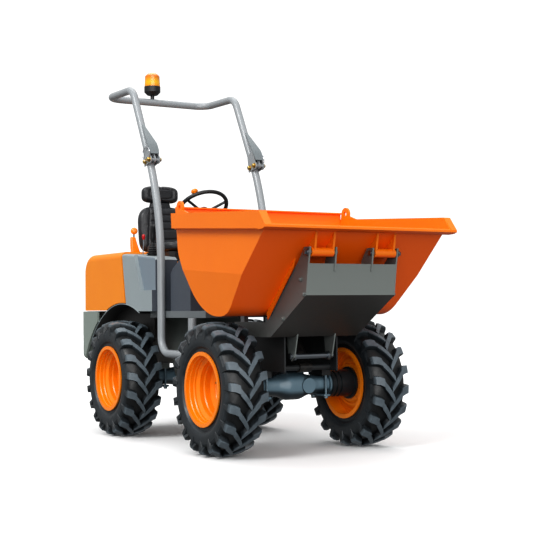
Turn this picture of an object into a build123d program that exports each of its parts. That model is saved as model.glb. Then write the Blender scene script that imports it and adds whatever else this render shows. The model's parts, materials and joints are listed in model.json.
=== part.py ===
"""Small articulated site dumper with a high-tip skip and a folding roll bar.

Frame: millimetres, +Z up, the skip points along -Y, the machine's right side is -X.
The origin is on the ground, below the middle of the machine's overall box.
"""
import math
import os

from build123d import *

# ---------------------------------------------------------------- driving sizes
WHEELBASE = 1350
TRACK = 950
FRONT_AXLE_Y = -695
TYRE_OD = 760
TYRE_WIDTH = 248
RIM_SEAT_R = 194.5
RIM_FLANGE_R = 212
RIM_SHEET = 7
WELL_DEPTH = 26
RIM_WIDTH = 226
DISC_INSET = 52
DISC_THICK = 10
HUB_R = 50
RUN_FIT = 0.05
GAP = 0.3

SKIP_WIDTH = 1160
SKIP_WALL = 6
SKIP_RIM_WIDTH = 40
SKIP_BOTTOM_Z = 790
HINGE_Y = -660
HINGE_Z = 1128
HINGE_PIN_R = 14

CRADLE_HALF = 290
PLATE = 10
CHASSIS_HALF = 170
CHASSIS_TOP = 700
CHASSIS_LOW = 470

PIVOT_PIN_R = 30
PIVOT_LUG_R = 75
PIVOT_LOW_Z = 350
PIVOT_HIGH_Z = 620
PIVOT_LUG_THICK = 22
THRUST_GAP = 1

TUBE_R = 25
ROPS_X = 390
ROPS_FOLD_Z = 1802
FLOOR_Z = 820
FLOOR_HALF = ROPS_X - TUBE_R - GAP
HOOD_HALF = 445
HOOD_TOP = 1222
HOOD_LOW = 826
CONSOLE_IN = 262
SHEET = 4

# ---------------------------------------------------------------- worked-out places
AXLE_Z = TYRE_OD / 2
REAR_AXLE_Y = FRONT_AXLE_Y + WHEELBASE
PIVOT_Y = (FRONT_AXLE_Y + REAR_AXLE_Y) / 2
WHEEL_X = TRACK / 2


def front(offset):
    """Y of a place that is measured from the front axle, + towards the rear."""
    return FRONT_AXLE_Y + offset


def rear(offset):
    """Y of a place that is measured from the rear axle, + towards the rear."""
    return REAR_AXLE_Y + offset


def save(piece, name):
    """Label one finished piece and write it as its own STEP file."""
    piece.part.label = name
    export_step(piece.part, f"parts/{name}.step")


os.makedirs("parts", exist_ok=True)

# ================================================================ wheels
# columns: name, side (+1 left, -1 right), axle Y
WHEELS = [
    ("front_right", -1, FRONT_AXLE_Y),
    ("front_left", 1, FRONT_AXLE_Y),
    ("rear_right", -1, REAR_AXLE_Y),
    ("rear_left", 1, REAR_AXLE_Y),
]
TYRE_R = TYRE_OD / 2
SHOULDER_R = TYRE_R - 38
DISC_FACE = -DISC_INSET
DISC_BACK = DISC_FACE - DISC_THICK

for wheel_name, side, axle_y in WHEELS:
    wheel_plane = Plane(origin=(side * WHEEL_X, axle_y, AXLE_Z), x_dir=(side, 0, 0), z_dir=(0, 1, 0))

    with BuildPart() as tyre:
        with BuildSketch(wheel_plane):
            with BuildLine():
                half = TYRE_WIDTH / 2
                bead = RIM_SEAT_R + GAP
                side_r = RIM_FLANGE_R + 8
                Polyline((-half + 22, bead), (half - 22, bead), (half - 22, side_r))
                ThreePointArc((half - 22, side_r), (half, (side_r + SHOULDER_R) / 2), (half - 12, SHOULDER_R))
                ThreePointArc((half - 12, SHOULDER_R), (0, TYRE_R), (-half + 12, SHOULDER_R))
                ThreePointArc((-half + 12, SHOULDER_R), (-half, (side_r + SHOULDER_R) / 2), (-half + 22, side_r))
                Line((-half + 22, side_r), (-half + 22, bead))
            make_face()
        revolve(axis=Axis((side * WHEEL_X, axle_y, AXLE_Z), (1, 0, 0)))
    save(tyre, f"tyre_{wheel_name}")

    with BuildPart() as rim:
        with BuildSketch(wheel_plane):
            with BuildLine():
                half = RIM_WIDTH / 2
                inner = RIM_SEAT_R - RIM_SHEET
                well = RIM_SEAT_R - WELL_DEPTH
                Polyline(
                    (-half, RIM_FLANGE_R), (-half + 9, RIM_FLANGE_R), (-half + 9, RIM_SEAT_R),
                    (-30, RIM_SEAT_R), (-20, well), (35, well), (50, RIM_SEAT_R), (half - 9, RIM_SEAT_R),
                    (half - 9, RIM_FLANGE_R), (half, RIM_FLANGE_R), (half, inner + 3), (half - 20, inner + 3),
                    (half - 25, inner - 1), (68, inner - 1), (62, inner - 6), (52, inner - 6), (39, well - RIM_SHEET),
                    (14, well - RIM_SHEET), (8, well - RIM_SHEET - 5), (DISC_FACE + 26, well - RIM_SHEET - 5),
                    (DISC_FACE + 14, 132), (DISC_FACE + 14, 120), (DISC_FACE, 108),
                    (DISC_FACE, HUB_R + RUN_FIT), (DISC_BACK, HUB_R + RUN_FIT), (DISC_BACK, 112),
                    (DISC_FACE + 2, 126), (DISC_FACE + 2, 140), (DISC_FACE + 14, well - RIM_SHEET), (-36, inner),
                    (-half, inner),
                    close=True,
                )
            make_face()
        revolve(axis=Axis((side * WHEEL_X, axle_y, AXLE_Z), (1, 0, 0)))
    save(rim, f"rim_{wheel_name}")


# ================================================================ axles
# columns: name, axle Y, side on which the hydraulic motor stands (+1 rear, -1 front)
AXLES = [("front_axle", FRONT_AXLE_Y, 1), ("rear_axle", REAR_AXLE_Y, -1)]
TUBE_AXLE_R = 54
DIFF_R = 84
DRUM_R = 78
HUB_FACE_X = WHEEL_X + DISC_BACK - GAP
SADDLE_X = 201
SADDLE_WIDTH = 60

for axle_name, axle_y, motor_side in AXLES:
    axle_line = Axis((0, axle_y, AXLE_Z), (1, 0, 0))
    with BuildPart() as axle:
        with BuildSketch(Plane(origin=(0, axle_y, AXLE_Z), x_dir=(1, 0, 0), z_dir=(0, -1, 0))):
            with BuildLine():
                Line((0, 0), (0, DIFF_R))
                Line((0, DIFF_R), (30, DIFF_R))
                Spline((30, DIFF_R), (75, 72), (110, 60), tangents=((1, 0), (1, -0.2)))
                Polyline(
                    (110, 60), (160, TUBE_AXLE_R), (236, TUBE_AXLE_R), (236, 70), (252, 70), (252, DRUM_R), (272, DRUM_R),
                    (272, DRUM_R - 10), (284, DRUM_R - 10), (284, DRUM_R), (304, DRUM_R),
                    (304, DRUM_R - 10), (316, DRUM_R - 10), (316, DRUM_R), (HUB_FACE_X - 12, DRUM_R + 6),
                    (HUB_FACE_X - 12, 96), (HUB_FACE_X, 96), (HUB_FACE_X, HUB_R),
                    (HUB_FACE_X + DISC_THICK + 14, HUB_R), (HUB_FACE_X + DISC_THICK + 20, HUB_R - 8),
                    (HUB_FACE_X + DISC_THICK + 20, 0), (0, 0),
                )
            make_face()
        revolve(axis=axle_line)
        mirror(about=Plane.YZ)
        with BuildSketch(Plane.XZ.offset(-axle_y)):
            with Locations((-10, AXLE_Z + 4)):
                Circle(46)
        extrude(amount=-motor_side * 150)
        with BuildSketch(Plane.XZ.offset(-axle_y)):
            with Locations((72, AXLE_Z)):
                Circle(44)
        extrude(amount=motor_side * 92)
    save(axle, axle_name)

# ================================================================ front chassis
CHASSIS_REAR = 420
RAM_FOOT = (-150, 490)
RAM_FOOT_PIN_R = 16
# The ram's eye lies as far from the skip's hinge as its foot, so the ram swings at half the skip's rate.
RAM_EYE_DROP = 5
hinge_to_foot = math.dist(RAM_FOOT, (HINGE_Y, HINGE_Z))
eye_below = HINGE_Z - SKIP_BOTTOM_Z + RAM_EYE_DROP
RAM_EYE = (HINGE_Y + math.sqrt(hinge_to_foot**2 - eye_below**2), HINGE_Z - eye_below)
RAM_SLOT = (-202, 90)
RAM_SLOT_WIDE = 104
DECK_FRONT_END = -250
DECK_TAPER_START = 140
DECK_TAIL_HALF = 184
DECK_HALF = CRADLE_HALF - PLATE - GAP
STEER_X = -120
STEER_Z = 520
STEER_EYE_HALF = 17

with BuildPart() as front_chassis:
    with BuildSketch(Plane.YZ.offset(CHASSIS_HALF)):
        with BuildLine():
            Polyline(
                (front(-230), CHASSIS_LOW), (front(130), CHASSIS_LOW), (front(180), PIVOT_LOW_Z),
                (front(CHASSIS_REAR), PIVOT_LOW_Z), (front(CHASSIS_REAR), CHASSIS_TOP - PLATE),
                (front(-230), CHASSIS_TOP - PLATE), close=True,
            )
        make_face()
    extrude(amount=PLATE)
    mirror(about=Plane.YZ)
    with BuildSketch(Plane.XY.offset(CHASSIS_TOP - PLATE)):
        with BuildLine():
            Polyline(
                (DECK_HALF, front(DECK_FRONT_END)), (DECK_HALF, front(DECK_TAPER_START)),
                (DECK_TAIL_HALF, front(CHASSIS_REAR)), (-DECK_TAIL_HALF, front(CHASSIS_REAR)),
                (-DECK_HALF, front(DECK_TAPER_START)), (-DECK_HALF, front(DECK_FRONT_END)), close=True,
            )
        make_face()
        with Locations((0, front((RAM_SLOT[0] + RAM_SLOT[1]) / 2))):
            Rectangle(RAM_SLOT_WIDE, RAM_SLOT[1] - RAM_SLOT[0], mode=Mode.SUBTRACT)
    extrude(amount=PLATE)
    with BuildSketch(Plane.XZ.offset(-front(CHASSIS_REAR))):
        with Locations((0, (PIVOT_LOW_Z + CHASSIS_TOP) / 2)):
            Rectangle(2 * (CHASSIS_HALF + PLATE), CHASSIS_TOP - PIVOT_LOW_Z)
    extrude(amount=PLATE)
    for lug_z in (PIVOT_LOW_Z, PIVOT_HIGH_Z):
        with BuildSketch(Plane.XY.offset(lug_z)):
            with BuildLine():
                Polyline(
                    (-PIVOT_LUG_R, PIVOT_Y), (-CHASSIS_HALF + 10, front(CHASSIS_REAR) - PLATE),
                    (CHASSIS_HALF - 10, front(CHASSIS_REAR) - PLATE), (PIVOT_LUG_R, PIVOT_Y),
                )
                ThreePointArc((PIVOT_LUG_R, PIVOT_Y), (0, PIVOT_Y + PIVOT_LUG_R), (-PIVOT_LUG_R, PIVOT_Y))
            make_face()
            with Locations((0, PIVOT_Y)):
                Circle(PIVOT_PIN_R + RUN_FIT, mode=Mode.SUBTRACT)
        extrude(amount=PIVOT_LUG_THICK)
    with BuildSketch(Plane.XY.offset(AXLE_Z + TUBE_AXLE_R + GAP)):
        for side in (-1, 1):
            with Locations((side * SADDLE_X, front(0))):
                Rectangle(SADDLE_WIDTH, 150)
    extrude(amount=CHASSIS_LOW - AXLE_Z - TUBE_AXLE_R - GAP)
    for shelf_z in (STEER_Z - STEER_EYE_HALF - 6 - PLATE, STEER_Z + STEER_EYE_HALF + 6):
        with BuildSketch(Plane.XY.offset(shelf_z)):
            with Locations((STEER_X, front(CHASSIS_REAR) + 40)):
                Rectangle(2 * (CHASSIS_HALF + STEER_X), 80)
        extrude(amount=PLATE)
    with BuildSketch(Plane.YZ.offset(-CHASSIS_HALF - PLATE)):
        with Locations((front(RAM_FOOT[0]), RAM_FOOT[1])):
            Circle(RAM_FOOT_PIN_R)
    extrude(amount=2 * (CHASSIS_HALF + PLATE))
save(front_chassis, "front_chassis")


# ================================================================ skip cradle
# Side outline of the cradle cheeks, front-axle offsets and heights.
CHEEK = [
    (-628, 1156), (-682, 1156), (-664, 1068), (-640, 900), (-266, 671), (150, 671), (150, 755),
    (-215, 755), (-262, 790), (-575, 1090),
]
PANEL_TOP = (-664, 1068)
PANEL_LOW = (-640, 900)
BELLY_END = (-266, 671)
SHAFT_AT = (-225, 560)
SHAFT_R = 16
HANGER_X = 122

with BuildPart() as skip_cradle:
    with BuildSketch(Plane.YZ.offset(CRADLE_HALF - PLATE)):
        with BuildLine():
            Polyline(*[(front(y), z) for y, z in CHEEK], close=True)
        make_face()
        with Locations((front(HINGE_Y), HINGE_Z)):
            Circle(HINGE_PIN_R + RUN_FIT, mode=Mode.SUBTRACT)
    extrude(amount=PLATE)
    with BuildSketch(Plane.YZ.offset(115)):
        with BuildLine():
            Polyline(
                (front(-628), 1156), (front(-682), 1156), (front(PANEL_TOP[0]), PANEL_TOP[1] - 40),
                (front(-560), 1028), (front(-575), 1090), close=True,
            )
        make_face()
        with Locations((front(HINGE_Y), HINGE_Z)):
            Circle(HINGE_PIN_R + RUN_FIT, mode=Mode.SUBTRACT)
    extrude(amount=PLATE)
    with BuildSketch(Plane.YZ):
        with BuildLine():
            Polyline(
                (front(PANEL_TOP[0]), PANEL_TOP[1]), (front(PANEL_LOW[0]), PANEL_LOW[1]),
                (front(BELLY_END[0]), BELLY_END[1]), (front(BELLY_END[0]) + 4, BELLY_END[1] + 8),
                (front(PANEL_LOW[0]) + 10, PANEL_LOW[1] + 6), (front(PANEL_TOP[0]) + 10, PANEL_TOP[1]),
                close=True,
            )
        make_face()
    extrude(amount=CRADLE_HALF - PLATE)
    with BuildSketch(Plane.YZ.offset(HANGER_X)):
        with BuildLine():
            Polyline(
                (front(-290), 686), (front(-255), SHAFT_AT[1] - 5), (front(SHAFT_AT[0]), SHAFT_AT[1] - 28),
                (front(-195), SHAFT_AT[1] - 5), (front(-170), CHASSIS_TOP - PLATE - GAP),
                (front(-262), CHASSIS_TOP - PLATE - GAP), close=True,
            )
        make_face()
        with Locations((front(SHAFT_AT[0]), SHAFT_AT[1])):
            Circle(SHAFT_R + RUN_FIT, mode=Mode.SUBTRACT)
    extrude(amount=8)
    mirror(about=Plane.YZ)
save(skip_cradle, "skip_cradle")

with BuildPart() as cradle_shaft:
    with BuildSketch(Plane.YZ.offset(-HANGER_X - 22)):
        with Locations((front(SHAFT_AT[0]), SHAFT_AT[1])):
            Circle(SHAFT_R)
    extrude(amount=2 * HANGER_X + 44)
save(cradle_shaft, "cradle_shaft")

# ================================================================ skip
# Side outline corners, front-axle offsets and heights, from the rear top round below to the front wall's top.
SKIP_OUTLINE = [(328, 1392), (300, 1160), (75, SKIP_BOTTOM_Z), (-233, SKIP_BOTTOM_Z), (-712, 1247)]
SKIP_BENDS = [200, 340, 215]
SKIP_LIP = (-778, 1258)
SKIP_CORNER = (-722, 1332)
FOLD_REAR = (219, 1060)
FOLD_FRONT = (-464, 1014)
TUCK_ANGLE = 9


def skip_block(inset, spill):
    """The skip's filled shape, every wall moved in by inset and the open top raised by spill."""
    fold_run = Vector(0, FOLD_FRONT[0] - FOLD_REAR[0], FOLD_FRONT[1] - FOLD_REAR[1]).normalized()
    with BuildPart() as block:
        with BuildSketch(Plane.YZ):
            with BuildLine():
                FilletPolyline(*[(front(y), z) for y, z in SKIP_OUTLINE], radius=SKIP_BENDS)
                Polyline(*[(front(y), z) for y, z in (SKIP_OUTLINE[-1], SKIP_LIP, SKIP_CORNER, SKIP_OUTLINE[0])])
            make_face()
            if inset:
                offset(amount=-inset, kind=Kind.INTERSECTION)
                with BuildLine():
                    Polyline(
                        (front(SKIP_OUTLINE[0][0] - inset), SKIP_OUTLINE[0][1] - 2 * inset),
                        (front(SKIP_OUTLINE[0][0] - inset), SKIP_OUTLINE[0][1] + spill),
                        (front(SKIP_LIP[0]) - spill, SKIP_OUTLINE[0][1] + spill),
                        (front(SKIP_LIP[0]) - spill, SKIP_LIP[1] + inset),
                        (front(SKIP_LIP[0]) + 2 * inset, SKIP_LIP[1] + inset),
                        (front(SKIP_CORNER[0]) + inset, SKIP_CORNER[1] - 2 * inset),
                        close=True,
                    )
                make_face()
        extrude(amount=SKIP_WIDTH / 2 - inset, both=True)
        fold_plane = Plane(
            origin=(0, front(FOLD_REAR[0]) - 400 * fold_run.Y, FOLD_REAR[1] - 400 * fold_run.Z),
            x_dir=(1, 0, 0), z_dir=fold_run,
        )
        with BuildSketch(fold_plane):
            with BuildLine():
                drop = 500
                tuck = drop * math.tan(math.radians(TUCK_ANGLE))
                half = SKIP_WIDTH / 2 - inset
                Polyline(
                    (half, 0), (half + 200, 0), (half + 200, -drop), (half - tuck, -drop),
                    close=True,
                )
            make_face()
            mirror(about=Plane.YZ)
        extrude(amount=1400, mode=Mode.SUBTRACT)
    return block.part


def bend_centre(corner):
    """Centre of the bend at a corner of the side outline."""
    before, at, after = (Vector(*SKIP_OUTLINE[corner + step]) for step in (-1, 0, 1))
    inward = ((before - at).normalized() + (after - at).normalized()).normalized()
    half_angle = math.radians((before - at).get_angle(after - at) / 2)
    centre = at + inward * (SKIP_BENDS[corner - 1] / math.sin(half_angle))
    return front(centre.X), centre.Y


def slope_z(offset_y):
    """Height of the front wall's outer face at a front-axle offset."""
    (low_y, low_z), (high_y, high_z) = SKIP_OUTLINE[3:5]
    return low_z + (offset_y - low_y) * (high_z - low_z) / (high_y - low_y)


RIM_SIDE = [(310, 1392), (-722, 1332), (-782, 1258), (-754, 1238), (302, 1304)]
EYE_CENTRE = (262, 1422)
EYE_R = 40
EYE_HOLE_R = 15
REAR_TOP = 1432

with BuildPart() as skip:
    add(skip_block(0, 0))
    add(skip_block(SKIP_WALL, 300), mode=Mode.SUBTRACT)
    with BuildSketch(Plane.YZ.offset(SKIP_WIDTH / 2)):
        with BuildLine():
            Polyline(*[(front(y), z) for y, z in RIM_SIDE], close=True)
        make_face()
    extrude(amount=SKIP_RIM_WIDTH)
    with BuildSketch(Plane.YZ.offset(SKIP_WIDTH / 2 - SKIP_WALL)):
        with BuildLine():
            Polyline((front(325), 1300), (front(302), REAR_TOP), (front(150), 1383), (front(150), 1300), close=True)
        make_face()
        with Locations((front(EYE_CENTRE[0]), EYE_CENTRE[1])):
            Circle(EYE_R)
            Circle(EYE_HOLE_R, mode=Mode.SUBTRACT)
    extrude(amount=SKIP_WALL + 8)
    mirror(about=Plane.YZ)
    with BuildSketch(Plane.YZ):
        with BuildLine():
            Polyline(
                (front(328), 1380), (front(334), REAR_TOP), (front(300), REAR_TOP),
                (front(300), REAR_TOP - 8), (front(322), REAR_TOP - 10), (front(320), 1380), close=True,
            )
        make_face()
    extrude(amount=SKIP_WIDTH / 2, both=True)
    with BuildSketch(Plane.YZ):
        with BuildLine():
            Polyline(
                (front(-708), 1236), (front(-756), 1238), (front(-782), 1246), (front(-782), 1258),
                (front(-770), 1262), (front(-708), 1250), close=True,
            )
        make_face()
    extrude(amount=SKIP_WIDTH / 2 + SKIP_RIM_WIDTH, both=True)
save(skip, "skip")

# ---------------------------------------------------------------- posts that the lowered skip rests on
REST_IN = 196
REST_OUT = 246
REST_FRONT = 118
REST_REAR = 186
REST_FOOT = 8
REST_EDGE = 12
REST_REACH = 300

with BuildPart() as skip_rests:
    with BuildSketch(Plane.XY.offset(CHASSIS_TOP + GAP)):
        with Locations(((REST_IN + REST_OUT) / 2, front((REST_FRONT + REST_REAR) / 2))):
            Rectangle(REST_OUT - REST_IN, REST_REAR - REST_FRONT)
    extrude(amount=REST_FOOT)
    with BuildSketch(Plane.YZ.offset(REST_IN + REST_EDGE)):
        with Locations((front((REST_FRONT + REST_REAR) / 2), CHASSIS_TOP + GAP + REST_REACH / 2)):
            Rectangle(REST_REAR - REST_FRONT - 2 * REST_EDGE, REST_REACH)
        with Locations(bend_centre(2)):
            Circle(SKIP_BENDS[1] + GAP, mode=Mode.SUBTRACT)
    extrude(amount=REST_OUT - REST_IN - 2 * REST_EDGE)
    mirror(about=Plane.YZ)
save(skip_rests, "skip_rests")

# ---------------------------------------------------------------- skip hinge brackets and ribs
BRACKET_X = [(134, 12), (250, 12)]
BRACKET_TUBE_R = 24
RIB_X = CRADLE_HALF + 9
RIB_THICK = 6
CLEVIS_X = 34
CLEVIS_THICK = 10
CLEVIS_HALF_LONG = 46

with BuildPart() as skip_brackets:
    for start, thick in BRACKET_X:
        with BuildSketch(Plane.YZ.offset(start)):
            with BuildLine():
                Polyline(
                    (front(HINGE_Y) - 20, HINGE_Z - 4), (front(-700), slope_z(-700) - GAP),
                    (front(-598), slope_z(-598) - GAP), (front(HINGE_Y) + 16, HINGE_Z - 16), close=True,
                )
            make_face()
        extrude(amount=thick)
    with BuildSketch(Plane.YZ.offset(134)):
        with Locations((front(HINGE_Y), HINGE_Z)):
            Circle(BRACKET_TUBE_R)
    extrude(amount=138)
    with BuildSketch(Plane.YZ.offset(100)):
        with Locations((front(HINGE_Y), HINGE_Z)):
            Circle(HINGE_PIN_R + RUN_FIT)
    extrude(amount=220, mode=Mode.SUBTRACT)
    with BuildSketch(Plane.YZ.offset(RIB_X)):
        with BuildLine():
            Polyline(
                (front(-560), slope_z(-560) - GAP), (front(-528), slope_z(-560) - 62),
                (front(-262), slope_z(-250) - 36), (front(-250), slope_z(-250) - GAP), close=True,
            )
        make_face()
    extrude(amount=RIB_THICK)
    with BuildSketch(Plane.YZ.offset(CLEVIS_X)):
        with Locations((front(RAM_EYE[0]), RAM_EYE[1])):
            Circle(22)
        with BuildLine():
            Polyline(
                (front(RAM_EYE[0]) - 22, RAM_EYE[1]), (front(RAM_EYE[0]) + 22, RAM_EYE[1] - 4),
                (front(RAM_EYE[0]) + CLEVIS_HALF_LONG, RAM_EYE[1] + 110),
                (front(RAM_EYE[0]) - CLEVIS_HALF_LONG - 10, RAM_EYE[1] + 110), close=True,
            )
        make_face()
        with Locations(bend_centre(2)):
            Circle(SKIP_BENDS[1] + GAP, mode=Mode.SUBTRACT)
        with Locations((front(RAM_EYE[0]), RAM_EYE[1])):
            Circle(10, mode=Mode.SUBTRACT)
    extrude(amount=CLEVIS_THICK)
    mirror(about=Plane.YZ)
save(skip_brackets, "skip_brackets")

with BuildPart() as hinge_pins:
    with BuildSketch(Plane.YZ.offset(108)):
        with Locations((front(HINGE_Y), HINGE_Z)):
            Circle(HINGE_PIN_R)
    extrude(amount=192)
    with BuildSketch(Plane.YZ.offset(CRADLE_HALF + GAP)):
        with Locations((front(HINGE_Y), HINGE_Z)):
            Circle(HINGE_PIN_R + 6)
    extrude(amount=9)
    mirror(about=Plane.YZ)
save(hinge_pins, "skip_hinge_pins")


# ================================================================ tipping ram (three telescopic stages)
# columns: name, outer radius, bore radius, foot end and head end measured from the foot pin
RAM_LENGTH = math.dist(RAM_FOOT, RAM_EYE)
RAM_TUBES = [
    ("ram_barrel", 44, 37.4, 22, RAM_LENGTH - 36),
    ("ram_stage_one", 37, 30.4, 29, RAM_LENGTH - 32),
    ("ram_stage_two", 30, 23.4, 36, RAM_LENGTH - 28),
    ("ram_rod", 23, 0, 43, RAM_LENGTH - 10),
]
ram_dir = Vector(0, RAM_EYE[0] - RAM_FOOT[0], RAM_EYE[1] - RAM_FOOT[1]).normalized()
ram_foot = Vector(0, front(RAM_FOOT[0]), RAM_FOOT[1])
EYE_HALF = CLEVIS_X - 6

for ram_name, outer_r, bore_r, foot_end, head_end in RAM_TUBES:
    with BuildPart() as ram_tube:
        with BuildSketch(Plane(origin=ram_foot + ram_dir * foot_end, x_dir=(1, 0, 0), z_dir=ram_dir)):
            Circle(outer_r)
        extrude(amount=head_end - foot_end)
        if bore_r:
            with BuildSketch(Plane(origin=ram_foot + ram_dir * (foot_end + 6), x_dir=(1, 0, 0), z_dir=ram_dir)):
                Circle(bore_r)
            extrude(amount=head_end, mode=Mode.SUBTRACT)
        if ram_name == "ram_barrel":
            with BuildSketch(Plane.YZ.offset(-40)):
                with Locations((ram_foot.Y, ram_foot.Z)):
                    Circle(RAM_FOOT_PIN_R + 12)
            extrude(amount=80)
            with BuildSketch(Plane.YZ.offset(-60)):
                with Locations((ram_foot.Y, ram_foot.Z)):
                    Circle(RAM_FOOT_PIN_R + RUN_FIT)
            extrude(amount=120, mode=Mode.SUBTRACT)
        if ram_name == "ram_rod":
            with BuildSketch(Plane.YZ.offset(-EYE_HALF)):
                with Locations((front(RAM_EYE[0]), RAM_EYE[1])):
                    Circle(19)
            extrude(amount=2 * EYE_HALF)
    save(ram_tube, ram_name)

# ================================================================ steering ram and articulation pin
STEER_FOOT_Y = PIVOT_Y + 330
STEER_EYE_Y = PIVOT_Y - 205
STEER_BARREL_R = 27
STEER_ROD_R = 16

with BuildPart() as steer_barrel:
    with BuildSketch(Plane.XZ.offset(-(STEER_FOOT_Y - 24))):
        with Locations((STEER_X, STEER_Z)):
            Circle(STEER_BARREL_R)
    extrude(amount=300)
    with BuildSketch(Plane.XZ.offset(-(STEER_FOOT_Y - 40))):
        with Locations((STEER_X, STEER_Z)):
            Circle(STEER_ROD_R + RUN_FIT)
    extrude(amount=400, mode=Mode.SUBTRACT)
    with BuildSketch(Plane.XY.offset(STEER_Z - 20)):
        with Locations((STEER_X, STEER_FOOT_Y)):
            Circle(27)
    extrude(amount=40)
    with BuildSketch(Plane.XY.offset(STEER_Z - 30)):
        with Locations((STEER_X, STEER_FOOT_Y)):
            Circle(12 + RUN_FIT)
    extrude(amount=60, mode=Mode.SUBTRACT)
save(steer_barrel, "steering_ram_barrel")

with BuildPart() as steer_rod:
    with BuildSketch(Plane.XZ.offset(-(STEER_FOOT_Y - 160))):
        with Locations((STEER_X, STEER_Z)):
            Circle(STEER_ROD_R)
    extrude(amount=STEER_FOOT_Y - 160 - STEER_EYE_Y - 18)
    with BuildSketch(Plane.XY.offset(STEER_Z - STEER_EYE_HALF)):
        with Locations((STEER_X, STEER_EYE_Y)):
            Circle(24)
    extrude(amount=2 * STEER_EYE_HALF)
save(steer_rod, "steering_ram_rod")

with BuildPart() as articulation_pin:
    with BuildSketch(Plane.XY.offset(PIVOT_LOW_Z - 34)):
        with Locations((0, PIVOT_Y)):
            Circle(PIVOT_PIN_R)
    extrude(amount=PIVOT_HIGH_Z - PIVOT_LOW_Z + PIVOT_LUG_THICK + 64)
    with BuildSketch(Plane.XY.offset(PIVOT_HIGH_Z + 2 * PIVOT_LUG_THICK + THRUST_GAP + GAP)):
        with Locations((0, PIVOT_Y)):
            Circle(PIVOT_PIN_R + 14)
    extrude(amount=14)
save(articulation_pin, "articulation_pin")

# ================================================================ rear chassis
REAR_FRONT = PIVOT_Y + 250
REAR_END = rear(729.5)
REAR_TOP_Z = 774
BUSH = PIVOT_LUG_THICK + THRUST_GAP
ENGINE_MID = rear(280)
ENGINE_LONG = 620
ENGINE_HIGH = 560
BEARER_HIGH = 20

with BuildPart() as rear_chassis:
    with BuildSketch(Plane.YZ.offset(CHASSIS_HALF)):
        with BuildLine():
            Polyline(
                (REAR_FRONT, PIVOT_LOW_Z - BUSH), (rear(-220), PIVOT_LOW_Z - BUSH), (rear(-140), CHASSIS_LOW),
                (REAR_END, CHASSIS_LOW), (REAR_END, REAR_TOP_Z), (REAR_FRONT, REAR_TOP_Z), close=True,
            )
        make_face()
    extrude(amount=PLATE)
    mirror(about=Plane.YZ)
    with BuildSketch(Plane.XZ.offset(-REAR_FRONT)):
        with Locations((0, (PIVOT_LOW_Z - BUSH + REAR_TOP_Z) / 2)):
            Rectangle(2 * (CHASSIS_HALF + PLATE), REAR_TOP_Z - PIVOT_LOW_Z + BUSH)
        with Locations((STEER_X, STEER_Z)):
            Rectangle(98, 110, mode=Mode.SUBTRACT)
    extrude(amount=-PLATE)
    with BuildSketch(Plane.XZ.offset(-REAR_END)):
        with Locations((0, (CHASSIS_LOW + REAR_TOP_Z) / 2)):
            Rectangle(2 * (CHASSIS_HALF + PLATE), REAR_TOP_Z - CHASSIS_LOW)
    extrude(amount=PLATE)
    for lug_z in (PIVOT_LOW_Z - BUSH, PIVOT_HIGH_Z + BUSH):
        with BuildSketch(Plane.XY.offset(lug_z)):
            with BuildLine():
                Polyline(
                    (-PIVOT_LUG_R, PIVOT_Y), (-CHASSIS_HALF + 10, REAR_FRONT + 5),
                    (CHASSIS_HALF - 10, REAR_FRONT + 5), (PIVOT_LUG_R, PIVOT_Y),
                )
                ThreePointArc((PIVOT_LUG_R, PIVOT_Y), (0, PIVOT_Y - PIVOT_LUG_R), (-PIVOT_LUG_R, PIVOT_Y))
            make_face()
            with Locations((0, PIVOT_Y)):
                Circle(PIVOT_PIN_R + RUN_FIT, mode=Mode.SUBTRACT)
        extrude(amount=PIVOT_LUG_THICK)
    for shelf_z in (STEER_Z - 20 - 2 - PLATE, STEER_Z + 20 + 2):
        with BuildSketch(Plane.XY.offset(shelf_z)):
            with Locations((STEER_X, STEER_FOOT_Y + 14)):
                Rectangle(2 * (CHASSIS_HALF + STEER_X), 56)
        extrude(amount=PLATE)
    with BuildSketch(Plane.XY.offset(STEER_Z - 30)):
        with Locations((STEER_X, STEER_FOOT_Y)):
            Circle(12)
    extrude(amount=60)
    with BuildSketch(Plane.XY.offset(AXLE_Z + TUBE_AXLE_R + GAP)):
        for side in (-1, 1):
            with Locations((side * SADDLE_X, REAR_AXLE_Y)):
                Rectangle(SADDLE_WIDTH, 150)
    extrude(amount=CHASSIS_LOW - AXLE_Z - TUBE_AXLE_R - GAP)
    with BuildSketch(Plane.XY.offset(CHASSIS_LOW)):
        for bearer_y in (ENGINE_MID - ENGINE_LONG / 2 + 60, ENGINE_MID + ENGINE_LONG / 2 - 60):
            with Locations((0, bearer_y)):
                Rectangle(2 * CHASSIS_HALF, 60)
    extrude(amount=BEARER_HIGH)
save(rear_chassis, "rear_chassis")

# ================================================================ engine, floor, tow hitch
with BuildPart() as engine:
    with BuildSketch(Plane.XY.offset(CHASSIS_LOW + BEARER_HIGH + GAP)):
        with Locations((0, ENGINE_MID)):
            Rectangle(2 * (CHASSIS_HALF - 15), ENGINE_LONG)
    extrude(amount=ENGINE_HIGH)
save(engine, "engine")

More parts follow.
